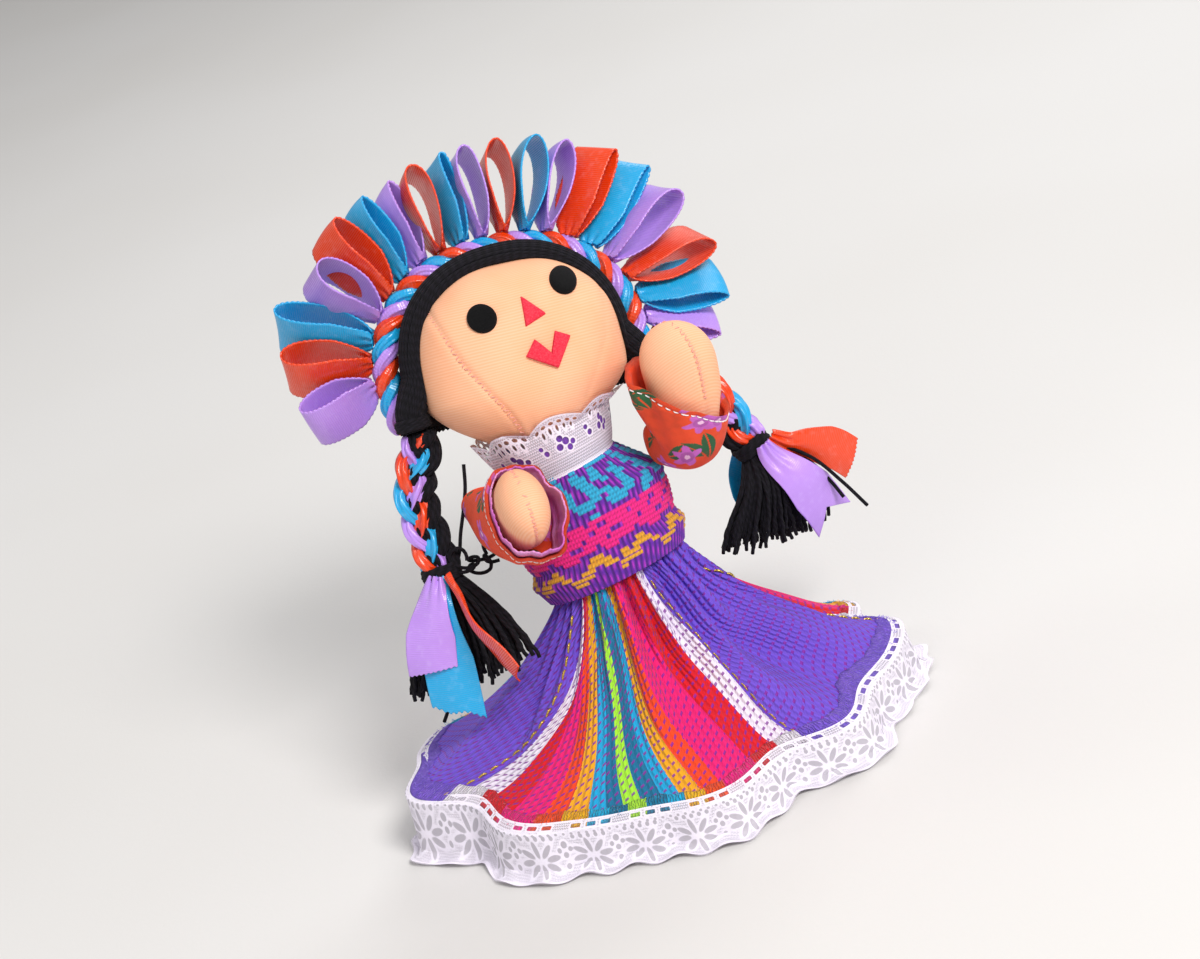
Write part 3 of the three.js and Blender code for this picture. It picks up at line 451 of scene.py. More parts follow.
def piece(name, part, material, body, nodes=(), thickness=None):
    """Puts a shell into a mesh in metres: its corners that meet are joined, its faces turned outwards."""
    mesh = bpy.data.meshes.new(name)
    points, faces = part["points"] * MM, part["faces"]
    mesh.vertices.add(len(points))
    mesh.vertices.foreach_set("co", points.astype(np.float32).ravel())
    mesh.loops.add(faces.size)
    mesh.loops.foreach_set("vertex_index", faces.ravel().astype(np.int32))
    mesh.polygons.add(len(faces))
    mesh.polygons.foreach_set("loop_start", np.arange(0, faces.size, 4, dtype=np.int32))
    mesh.polygons.foreach_set("use_smooth", np.ones(len(faces), bool))
    layer = mesh.uv_layers.new(name="Cloth")
    layer.data.foreach_set("uv", part["uv"][faces.ravel()].astype(np.float32).ravel())
    if part["paint"] is not None:
        paint = mesh.color_attributes.new("Dye", "FLOAT_COLOR", "CORNER")
        rgba = np.concatenate([part["paint"], np.ones((len(points), 1))], 1)[faces.ravel()]
        paint.data.foreach_set("color", rgba.astype(np.float32).ravel())
    mesh.update(calc_edges=True)
    shape = bmesh.new()
    shape.from_mesh(mesh)
    bmesh.ops.remove_doubles(shape, verts=shape.verts, dist=2e-6)
    loose = [corner for corner in shape.verts if not corner.link_faces]
    bmesh.ops.delete(shape, geom=loose, context="VERTS")
    bmesh.ops.recalc_face_normals(shape, faces=shape.faces)
    shape.to_mesh(mesh)
    shape.free()
    mesh.materials.append(material)
    made = bpy.data.objects.new(name, mesh)
    bpy.context.scene.collection.objects.link(made)
    if thickness:
        wall = made.modifiers.new("Cloth", "SOLIDIFY")
        wall.thickness = thickness * MM
        wall.offset = 0
    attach(made, body)
    if nodes:
        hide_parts(*nodes)
    return made


# Materials

class Value:
    """A socket of a material's nodes that can stand in an expression."""

    def __init__(self, surface, socket):
        self.surface = surface
        self.socket = socket

    def maths(self, operation, *others):
        return self.surface.node("Math", {0: self, **dict(enumerate(others, 1))}, operation=operation)

    def __add__(self, other):
        return self.maths("ADD", other)

    def __sub__(self, other):
        return self.maths("SUBTRACT", other)

    def __mul__(self, other):
        return self.maths("MULTIPLY", other)

    def __truediv__(self, other):
        return self.maths("DIVIDE", other)

    def __rsub__(self, other):
        return self.surface.node("Math", {0: other, 1: self}, operation="SUBTRACT")

    def __abs__(self):
        return self.maths("ABSOLUTE")

    def wave(self):
        """A sine that repeats for each whole number."""
        return (self * FULL_TURN).maths("SINE")

    def part(self):
        return self.maths("FRACT")

    def peak(self):
        """0 at whole numbers and 1 half-way between them, in straight lines."""
        return 1 - abs(self.part() * 2 - 1)

    def rise(self, low, high):
        """0 below low, 1 above high, smooth between."""
        values = {"Value": self, "From Min": low, "From Max": high}
        return self.surface.node("MapRange", values, interpolation_type="SMOOTHSTEP")


class Surface:
    """A material round one Principled shader, with its nodes."""

    def __init__(self, name, **finish):
        self.material = bpy.data.materials.new(name)
        self.material.use_nodes = True
        self.tree = self.material.node_tree
        self.shader = self.tree.nodes["Principled BSDF"]
        for socket, value in finish.items():
            self.shader.inputs[socket.replace("_", " ")].default_value = value
        uv = self.node("UVMap", {}, uv_map="Cloth")
        self.u, self.v = (self.node("SeparateXYZ", {"Vector": uv}, output) for output in ("X", "Y"))
        self.place = self.node("TexCoord", {}, "Object")

    def node(self, kind, inputs, output=0, **settings):
        node = self.tree.nodes.new("ShaderNode" + kind)
        for setting, value in settings.items():
            setattr(node, setting, value)
        for socket, value in inputs.items():
            if isinstance(value, Value):
                self.tree.links.new(value.socket, node.inputs[socket])
            else:
                node.inputs[socket].default_value = value
        return Value(self, node.outputs[output])

    def noise(self, scale, detail=2.0, stretch=None):
        """Soft grain. scale counts its cells in a metre; stretch draws it out along the axes."""
        place = self.place
        if stretch:
            place = self.node("Mapping", {"Vector": place, "Scale": stretch})
        return self.node("TexNoise", {"Vector": place, "Scale": scale, "Detail": detail})

    def blend(self, share, first, second, how="MIX"):
        colours = {7: "B_Color", 6: "A_Color"}
        inputs = {0: share}
        for index, value in zip(colours, (second, first)):
            inputs[index] = value if isinstance(value, Value) else (*value, 1.0)
        return self.node("Mix", inputs, 2, data_type="RGBA", blend_type=how, clamp_factor=True)

    def dye(self):
        return self.node("Attribute", {}, "Color", attribute_name="Dye")

    def feed(self, **sockets):
        for socket, value in sockets.items():
            self.tree.links.new(value.socket, self.shader.inputs[socket.replace("_", " ")])

    def relief(self, height, depth):
        """Height from 0 to 1, with its depth in millimetres."""
        self.feed(Normal=self.node("Bump", {"Height": height, "Distance": depth * MM}))


def darker(rgb, share):
    return tuple(share * channel for channel in rgb)


def lighter(rgb, share):
    return tuple(mix(channel, 1.0, share) for channel in rgb)


def cotton(name, rgb, shade, rib=0.44):
    """Plain cotton with fine ribs across v, slightly uneven in colour; the hollows between the ribs get
    painted shade.
    """
    cloth = Surface(name, Roughness=0.85, Sheen_Weight=0.02, Sheen_Roughness=0.5)
    ribs = (cloth.v / rib).wave() * 0.5 + 0.5
    threads = (cloth.u / (rib * 0.8)).wave() * 0.5 + 0.5
    patches = cloth.noise(110, 2).rise(0.35, 0.75)
    tone = cloth.blend(patches * 0.22, rgb, shade)
    # Painted shade: the hollows between the ribs are darkened towards the shade colour.
    tone = cloth.blend((1 - ribs) * 0.42, tone, shade)
    cloth.feed(Base_Color=tone, Roughness=patches * 0.1 + 0.78)
    cloth.relief(ribs * 0.7 + threads * 0.2 + cloth.noise(2600) * 0.3, 0.03)
    return cloth.material


def yarn(name, rgb, light, lay=1.5, plies=2, sheen=0.03):
    """Spun yarn: plies wind round it, and short fibres stand off it. The plies' crests get a painted
    highlight in the light colour.
    """
    wool = Surface(name, Roughness=0.95, Sheen_Weight=sheen, Sheen_Roughness=0.4, Specular_IOR_Level=0.25)
    ply = (wool.u * plies + wool.v / lay).peak()
    fibre = wool.noise(5200, 2, (1, 1, 0.35))
    # Painted highlight: the raised crests of the plies, broken by the fibre grain, are lightened towards the
    # light colour.
    tone = wool.blend(ply * fibre, rgb, light)
    wool.feed(Base_Color=tone, Roughness=fibre * 0.15 + 0.82)
    wool.relief(ply * 0.5 + fibre * 0.7, 0.12)
    return wool.material


def satin(name, rgb):
    """Satin ribbon: fine threads across it, and a long gloss that the threads draw out along it."""
    ribbon = Surface(name, Roughness=0.3, Anisotropic=0.7, Specular_IOR_Level=0.7)
    threads = (ribbon.v / 0.36).wave() * 0.5 + 0.5
    slubs = ribbon.noise(900, 2)
    # Painted shade: the hollows between the threads are darkened.
    tone = ribbon.blend((1 - threads) * 0.3, rgb, darker(rgb, 0.55))
    # The slubs are lightened: partly random tone, partly a painted highlight on the raised slubs.
    tone = ribbon.blend(slubs.rise(0.5, 0.8) * 0.18, tone, lighter(rgb, 0.3))
    ribbon.feed(Base_Color=tone, Roughness=(1 - threads) * 0.1 + slubs * 0.08 + 0.19)
    ribbon.relief(threads + slubs * 0.25, 0.018)
    return ribbon.material


def felt(name, rgb, lift=0.08):
    """Pressed fibres without a weave. lift is how much lighter its stray fibres are painted, as a highlight.
    """
    pad = Surface(name, Roughness=0.95, Sheen_Weight=0.02, Sheen_Roughness=0.6, Specular_IOR_Level=0.2)
    hairs = pad.noise(4200, 4)
    clumps = pad.noise(900, 2)
    # Painted highlight and shade: the raised fibres are lightened and the rest of the felt darkened.
    tone = pad.blend(hairs.rise(0.35, 0.7) * 0.5, darker(rgb, 0.8), lighter(rgb, lift))
    pad.feed(Base_Color=tone, Roughness=clumps * 0.1 + 0.88)
    pad.relief(hairs * 0.7 + clumps * 0.5, 0.1)
    return pad.material


def lace_thread(name, rgb):
    """Cotton lace. Its dye tells how far the nearest hole is, where the lace is solid and where fine net
    half fills the holes; elsewhere what is below shows a little between the threads."""
    lace = Surface(name, Roughness=0.8, Sheen_Weight=0.05)
    parts = lace.dye()
    hole, solid, netted = (lace.node("SeparateColor", {"Color": parts}, output)
                           for output in ("Red", "Green", "Blue"))
    rows = (lace.v / 0.5).peak()
    rungs = (lace.u / 0.42 + (lace.v / 0.5).maths("FLOOR") * 0.5).peak()
    net = rows.rise(0.5, 0.8).maths("MAXIMUM", rungs.rise(0.42, 0.72))
    cord = 1 - hole.rise(0.55, 0.62)
    threads = net.maths("MAXIMUM", solid).maths("MAXIMUM", cord)
    fibre = lace.noise(3800, 3)
    # Painted shade: between the threads, where there is no thread, the colour is darkened.
    tone = lace.blend(fibre.rise(0.45, 0.8) * 0.2 + (1 - threads) * 0.45, rgb, darker(rgb, 0.72))
    covered = (threads * 0.38 + 0.6).maths("MAXIMUM", netted)
    bottom = netted * 0.5 + 0.04
    veil = hole.rise(0.485, 0.515) * (covered - bottom) + bottom
    lace.feed(Base_Color=tone, Roughness=fibre * 0.2 + 0.7, Alpha=veil)
    lace.relief(threads + fibre * 0.3 + (1 - rungs) * 0.2, 0.12)
    return lace.material


def handwoven(name, fleck, wide, tall):
    """The skirt's cloth: columns of floats of yarn, each column half a float further down than the last.
    The floats lean a little, and between their ends a thread of another colour shows."""
    cloth = Surface(name, Roughness=0.85, Sheen_Weight=0.05, Sheen_Roughness=0.5)
    place = cloth.u / wide
    across = place.part()
    down = cloth.v / tall + place.maths("FLOOR") * 0.5 + across * 0.5 + cloth.noise(260, 1) * 0.25
    side, end = across.peak(), down.peak()
    body = side.rise(0.0, 0.9) * (end.rise(0.0, 0.45) * 0.75 + 0.25)
    fibre = cloth.noise(3600, 3)
    plies = (cloth.u / 0.4 + cloth.v / 0.62).wave() * 0.5 + 0.5
    dye = cloth.dye()
    shaded = cloth.blend((1 - side.rise(0.0, 0.4)) * 0.22 + (1 - plies) * 0.12, dye,
                         cloth.blend(0.72, dye, (0.02, 0.0, 0.05)))
    gap = (1 - end.rise(0.24, 0.34)) * side.rise(0.34, 0.52)
    tone = cloth.blend(gap * 0.85, shaded, fleck)
    cloth.feed(Base_Color=tone, Roughness=fibre * 0.15 + 0.78)
    cloth.relief(body + plies * 0.08 + fibre * 0.2, 0.3)
    return cloth.material


def brushed(name):
    """The turned hem: short fibres all along it hide the weave. Raised fibres and clumps get painted
    highlights, the gaps between fibres painted shade.
    """
    cloth = Surface(name, Roughness=0.95, Sheen_Weight=0.1, Sheen_Roughness=0.5)
    fibre = (cloth.u * 2.2 + cloth.noise(900, 3) * 2.4).wave() * 0.5 + 0.5
    clumps = cloth.noise(700, 3)
    dye = cloth.dye()
    # Painted highlight: the raised fibres and clumps are lightened.
    tone = cloth.blend(clumps.rise(0.4, 0.7) * 0.5 + fibre * 0.3, dye, (1.0, 1.0, 1.0), "SOFT_LIGHT")
    # Painted shade: the gaps between the fibres are darkened.
    tone = cloth.blend((1 - fibre) * 0.1, tone, (0.02, 0.0, 0.05))
    cloth.feed(Base_Color=tone, Roughness=fibre * 0.1 + 0.88)
    cloth.relief(fibre * 0.8 + clumps, 0.5)
    return cloth.material


def brocade(name):
    """The blouse's cloth: its inlay is in the mesh; this adds fibres and lengthwise threads, with painted
    highlights on the raised fibres and painted shade in the grooves.
    """
    cloth = Surface(name, Roughness=0.82, Sheen_Weight=0.1)
    dye = cloth.dye()
    fibre = cloth.noise(4200, 3)
    lengthwise = (cloth.u / 0.5).wave() * 0.5 + 0.5
    # Painted highlight: the raised fibres are lightened.
    tone = cloth.blend(fibre.rise(0.4, 0.8) * 0.3, dye, (1.0, 1.0, 1.0), "SOFT_LIGHT")
    # Painted shade: the grooves between the lengthwise threads are darkened.
    tone = cloth.blend((1 - lengthwise) * 0.18, tone, (0.04, 0.01, 0.1))
    cloth.feed(Base_Color=tone, Roughness=fibre * 0.2 + 0.7)
    cloth.relief(fibre + lengthwise * 0.5, 0.09)
    return cloth.material


def printed(name):
    """Printed cotton: the dye is in the mesh; this adds a plain weave."""
    cloth = Surface(name, Roughness=0.8, Sheen_Weight=0.052)
    weave = (cloth.u / 0.3).wave() * (cloth.v / 0.3).wave() * 0.5 + 0.5
    patches = cloth.noise(500, 3)
    tone = cloth.blend(patches.rise(0.4, 0.8) * 0.25, cloth.dye(), (0.25, 0.02, 0.01))
    cloth.feed(Base_Color=tone, Roughness=patches * 0.15 + 0.7)
    cloth.relief(weave + patches * 0.4, 0.04)
    return cloth.material


def fibres(name):
    """Loose fibres in the colour of what they stand off."""
    loose = Surface(name, Roughness=0.9, Sheen_Weight=0.05)
    loose.feed(Base_Color=loose.blend(loose.noise(900) * 0.3, loose.dye(), (0.9, 0.85, 1.0)))
    return loose.material


def metal_thread(name, rgb):
    """A flat glittering strip wound round a thread."""
    strip = Surface(name, Metallic=0.85, Roughness=0.32)
    turns = (strip.u + strip.v / 0.5).peak()
    strip.feed(Base_Color=strip.blend(turns * 0.5, rgb, darker(rgb, 0.4)), Roughness=turns * 0.2 + 0.22)
    strip.relief(turns, 0.06)
    return strip.material


def floor_paper(name):
    paper = Surface(name, Roughness=0.9)
    grain = paper.noise(1400, 3)
    clouds = paper.noise(6, 2)
    tone = paper.blend(clouds.rise(0.3, 0.7) * 0.5, srgb("DEDDDC"), srgb("D8D6D3"))
    paper.feed(Base_Color=tone, Roughness=grain * 0.1 + 0.85)
    paper.relief(grain, 0.03)
    return paper.material


MATERIALS = {}


def material(key, make, *values):
    """Each material is made once, when its first piece asks for it."""
    if key not in MATERIALS:
        MATERIALS[key] = make(key, *values)
    return MATERIALS[key]


def hues():
    return bpy.context.scene.rag_doll_colours


def stripes():
    return bpy.context.scene.rag_doll_stripes


def sizes():
    return bpy.context.scene.rag_doll_sizes


def skin_cotton():
    return material("Peach cotton", cotton, tuple(hues().skin), tuple(hues().skin_shade))


def hair_yarn():
    # The second colour is the painted highlight on the plies' crests.
    return material("Black yarn", yarn, tuple(hues().hair), srgb("211E29"))


def ribbon_satin(name):
    return material(f"{name.capitalize()} satin", satin, tuple(getattr(hues(), name)))


def stitch_thread():
    # The second colour is the painted highlight on the plies' crests.
    return material("Sewing thread", yarn, tuple(hues().stitch), srgb("FFE2D8"), 0.6)


def white_lace():
    return material("White lace", lace_thread, tuple(hues().lace))


# Forms that several pieces share

def torso_half(up):
    """Half sizes of the torso at a height from the waist, straight between the measured heights."""
    return (np.interp(up, TORSO_PROFILE[:, 0], TORSO_PROFILE[:, k]) for k in (1, 2))


def round_torso(angle, up, grow):
    a, b = torso_half(up)
    x, y = (a + grow) * np.cos(angle), (b + grow) * np.sin(angle)
    return xyz(x, y, up)


def folds(angle):
    """Depth of the folds round the skirt: nine main ones, thirteen finer ones and five wider ones."""
    return 0.62 * np.cos(9 * angle + 0.9) + 0.25 * np.cos(13 * angle - 1.1) + 0.13 * np.cos(5 * angle + 2.3)


def rise_at(angle, place, power):
    """A soft rise round one place of the hem, in degrees, from 0 to 1."""
    return np.maximum(0, np.cos(angle - np.radians(place))) ** power


def swayed(angle, down):
    """Where a thread at this angle of the hem hangs further up: the gathered cloth is drawn to her right in
    front, which hides some of the stripes in a fold, and forwards at her left."""
    degrees = np.mod(np.degrees(angle) - SKIRT_FROM, 360) + SKIRT_FROM
    right = 0.42 * bump(degrees, 205, 25) * (1 - np.clip(down, 0, 1) ** 2.4)
    front = -0.24 * bump(degrees, 275, 38) * (1 - down)
    left = -0.3 * bump(degrees, 366, 20) * (1 - down) ** 1.6
    wander = 0.035 * np.sin(7 * angle + 5 * down) * np.sin(np.pi * np.clip(down, 0, 1))
    return angle + right + front + left + wander


def on_skirt(angle, down, inwards=0.0, lift=0.0):
    """A point on the skirt. Its top ring stands on the torso and its hem is an ellipse with folds, drawn in
    behind her left side and raised on her right; between them the share outwards is a power of the share
    down, and the fall is half a straight line, half a sine. Gathers die away below the waist."""
    a, b = torso_half(0.0)
    grow = SEAT_GAP + SKIRT_CLOTH - inwards
    round_waist = xyz((a + grow) * np.cos(angle), (b + grow) * np.sin(angle), 0)
    top = TORSO.out(round_waist) - STANDING.origin
    tucked = 1 - 0.26 * rise_at(angle, 32, 6)
    deep = np.where(np.mod(angle, FULL_TURN) > np.pi, HEM_HALF[1], HEM_BACK * tucked)
    uneven = 1 + 0.45 * np.sin(3 * angle + 1) * np.cos(4 * angle)
    gathers = 1.3 * uneven * np.sin(29 * angle + 2 * np.sin(5 * angle)) * bump(down, 0.2, 0.3)
    fine = 0.35 * np.sin(61 * angle + 3 * np.sin(7 * angle)) * bump(down, 0.1, 0.2)
    ripple = 0.5 * np.sin(21 * angle + 3 * np.sin(3 * angle)) * np.sin(np.pi * np.clip(down, 0, 1)) ** 2
    deeper = 2.3 * folds(angle + 0.3 * (1 - down)) * bump(down, 0.55, 0.27)
    middle = bump(down, 0.6, 0.25)
    for at, wide, height in PLEATS:
        away = np.mod(np.degrees(angle) - at + 180, 360) - 180
        deeper = deeper + height * bump(away, 0, wide) * middle
    fold = FOLD_DEPTH * folds(angle) - inwards
    x, y = (HEM_HALF[0] + fold) * np.cos(angle), (deep + fold) * np.sin(angle)
    hem = 7.2 + 0.8 * rise_at(angle, -9, 6) + 4.6 * rise_at(angle, 192, 4)
    share = np.clip(down, 0, None) ** 1.3
    fall = mix(down, np.sin(down * np.pi / 2), 0.5)
    more = gathers + fine + ripple + deeper + lift
    return STANDING.out(np.stack([
        mix(top[..., 0], x, share) + more * np.cos(angle),
        mix(top[..., 1], y, share) + more * np.sin(angle),
        mix(top[..., 2], hem, fall)], -1))


def jaw_at(up, off=0.0):
    """Share of the head's width that is left at a height below its middle."""
    down = np.clip((-up - JAW_FROM) / (HEAD_HALF[2] + off - JAW_FROM), 0, 1)
    return 1 - JAW_NARROW * down**JAW_BEND


def head_form(longitude, latitude, off=0.0):
    """The fuller ellipsoid made taller above its middle and narrower towards the chin."""
    form = full_round(longitude, latitude, HEAD_HALF + off)
    across = form[..., 0] * jaw_at(form[..., 2], off)
    up = np.where(form[..., 2] > 0, form[..., 2] * HEAD_TALL, form[..., 2])
    return xyz(across, form[..., 1], up)


def plain_head(points, off=0.0):
    """Where points of the head's form were on its fuller ellipsoid."""
    up = np.where(points[..., 2] > 0, points[..., 2] / HEAD_TALL, points[..., 2])
    return xyz(points[..., 0] / jaw_at(up, off), points[..., 1], up)


def on_head(right, up, off=0.0):
    """A point over the front of the head, "off" its cloth, from its places to her left and up."""
    half = HEAD_HALF + off
    plain = np.abs(plain_head(xyz(right, 0, up), off) / half) ** HEAD_FULL
    y = -half[1] * np.maximum(1 - plain.sum(-1), 1e-4) ** (1 / HEAD_FULL)
    return xyz(right, y, up)


def full_round(longitude, latitude, half):
    """The head's form in all directions: each direction is scaled until its powers add up to one."""
    level = np.cos(latitude)
    d = xyz(level * np.cos(longitude), level * np.sin(longitude), np.sin(latitude))
    size = (np.abs(d) ** HEAD_FULL).sum(-1, keepdims=True) ** (1 / HEAD_FULL)
    return d / size * half


def round_head(angle, half):
    """The head's upright outline, from its angle up from her left, as x and z."""
    x, z = np.cos(angle), np.sin(angle)
    size = (np.abs(x) ** HEAD_FULL + np.abs(z) ** HEAD_FULL) ** (1 / HEAD_FULL)
    return HAIR_ASIDE + half[0] * x / size, half[1] * z / size


def off_head(points, off):
    """Moves the points that are inside the head out to "off" its cloth, in three rounds."""
    local = HEAD.inwards(points)
    for _ in range(3):
        size = (np.abs(plain_head(local, off) / (HEAD_HALF + off)) ** HEAD_FULL).sum(-1, keepdims=True)
        size = size ** (1 / HEAD_FULL)
        local = np.where(size < 1, local / np.maximum(size, 0.05), local)
    return HEAD.out(local)


def near(places, path):
    """The distance from each place to a path of straight pieces, all in two measures."""
    path = np.asarray(path, float)
    start, step = path[:-1], np.diff(path, axis=0)
    away = places[..., None, :] - start
    share = np.clip((away * step).sum(-1) / (step**2).sum(-1), 0, 1)
    return np.linalg.norm(away - share[..., None] * step, axis=-1).min(-1)


def stitches(centres, ahead, side, lift):
    """Short threads that cross a seam by turns: each is a small bow from one side to the other."""
    t = np.linspace(-1, 1, 5)
    turn = np.where(np.arange(len(centres)) % 2, 0.8, -0.3)[:, None, None]
    way = unit(side[:, None] + turn * ahead[:, None])
    bow = lift[:, None] * (0.14 * (1 - t**2) - 0.04)[None, :, None]
    lines = centres[:, None] + way * t[None, :, None] * 0.4 + bow
    return yarns(lines, STITCH_RADIUS, (0.31, 0.87, 0.39), 5)


def tie_place(side):
    share = 1 - abs(TIE_TOP / HEAD_HALF[2]) ** HEAD_FULL
    head_here = HEAD_HALF[0] * share ** (1 / HEAD_FULL)
    return np.array([side * (head_here + SEAT_GAP + TIE_RADIUS), ROLL_AT, TIE_TOP - TIE_HEIGHT])


def winding(radius, height, turns, thread):
    """Yarn wound round and round, as one line that climbs: up Z from 0."""
    angle = np.linspace(0, FULL_TURN * turns, int(28 * turns))
    climb = np.linspace(thread, height - thread, len(angle))
    wobble = 1 + 0.03 * np.sin(3.3 * angle)
    wide = (radius - thread) * wobble
    return xyz(wide * np.cos(angle), wide * np.sin(angle), climb)


class StageOperator(bpy.types.Operator):
    """Makes the floor, the lights and the camera."""
    bl_idname = "rag_doll.stage"
    bl_label = "Stage"
    bl_options = {"REGISTER", "UNDO"}

    def execute(self, context):
        rows = np.linspace(-1500, 2400, 40)[:, None]
        columns = np.linspace(-2000, 2000, 40)[None, :]
        grid = xyz(columns, rows, -0.02)
        floor = piece("studio_floor", shell(grid), material("Floor paper", floor_paper), "torso")
        self.lights()
        self.camera()
        return {"FINISHED"}

    def lights(self):
        world = bpy.data.worlds.new("Pale studio")
        world.use_nodes = True
        sky = world.node_tree.nodes["Background"]
        sky.inputs["Color"].default_value = (1.0, 0.99, 0.98, 1.0)
        sky.inputs["Strength"].default_value = 0.45
        bpy.context.scene.world = world
        bpy.context.scene.view_settings.view_transform = "Standard"
        for name, place, size, power, tint in (
            ("Key light", (0.3, -0.5, 0.62), 0.3, 5.6, (1.0, 0.975, 0.955)),
            ("Front fill", (-0.45, -0.5, 0.4), 0.6, 0.5, (1.0, 0.98, 0.97)),
            ("Back light", (0.3, 0.5, 0.5), 0.4, 1.7, (1.0, 1.0, 1.0)),
            ("Left rim", (-0.55, 0.25, 0.38), 0.25, 0.45, (1.0, 1.0, 1.0)),
        ):
            lamp = bpy.data.lights.new(name, "AREA")
            lamp.shape = "DISK"
            lamp.size = size
            lamp.energy = power
            lamp.color = tint
            holder = bpy.data.objects.new(name, lamp)
            back = unit(np.array(place) - np.array([0, 0, 0.04]))
            right = unit(np.cross((0, 0, 1), back))
            turn = np.stack([right, np.cross(back, right), back], 1)
            holder.matrix_world = Matrix.Translation(place) @ Matrix(turn.tolist()).to_4x4()
            bpy.context.scene.collection.objects.link(holder)

    def camera(self):
        """The view of the photograph: from above the front, rolled over, with a long lens."""
        above, roll = np.radians([CAMERA_ABOVE, CAMERA_ROLL])
        level = np.array([1.0, 0, 0])
        upwards = np.array([0, np.sin(above), np.cos(above)])
        back = np.array([0, -np.cos(above), np.sin(above)])
        right = np.cos(roll) * level - np.sin(roll) * upwards
        up = np.sin(roll) * level + np.cos(roll) * upwards
        lens = bpy.data.cameras.new("Long lens")
        lens.sensor_fit = "HORIZONTAL"
        lens.sensor_width = 36
        lens.lens = CAMERA_LENS
        lens.clip_start = 0.01
        lens.clip_end = 20
        eye = bpy.data.objects.new("Camera", lens)
        turn = Matrix(np.stack([right, up, back], 1).tolist()).to_4x4()
        eye.matrix_world = Matrix.Translation(CAMERA_PLACE) @ turn
        bpy.context.scene.collection.objects.link(eye)
        bpy.context.scene.camera = eye


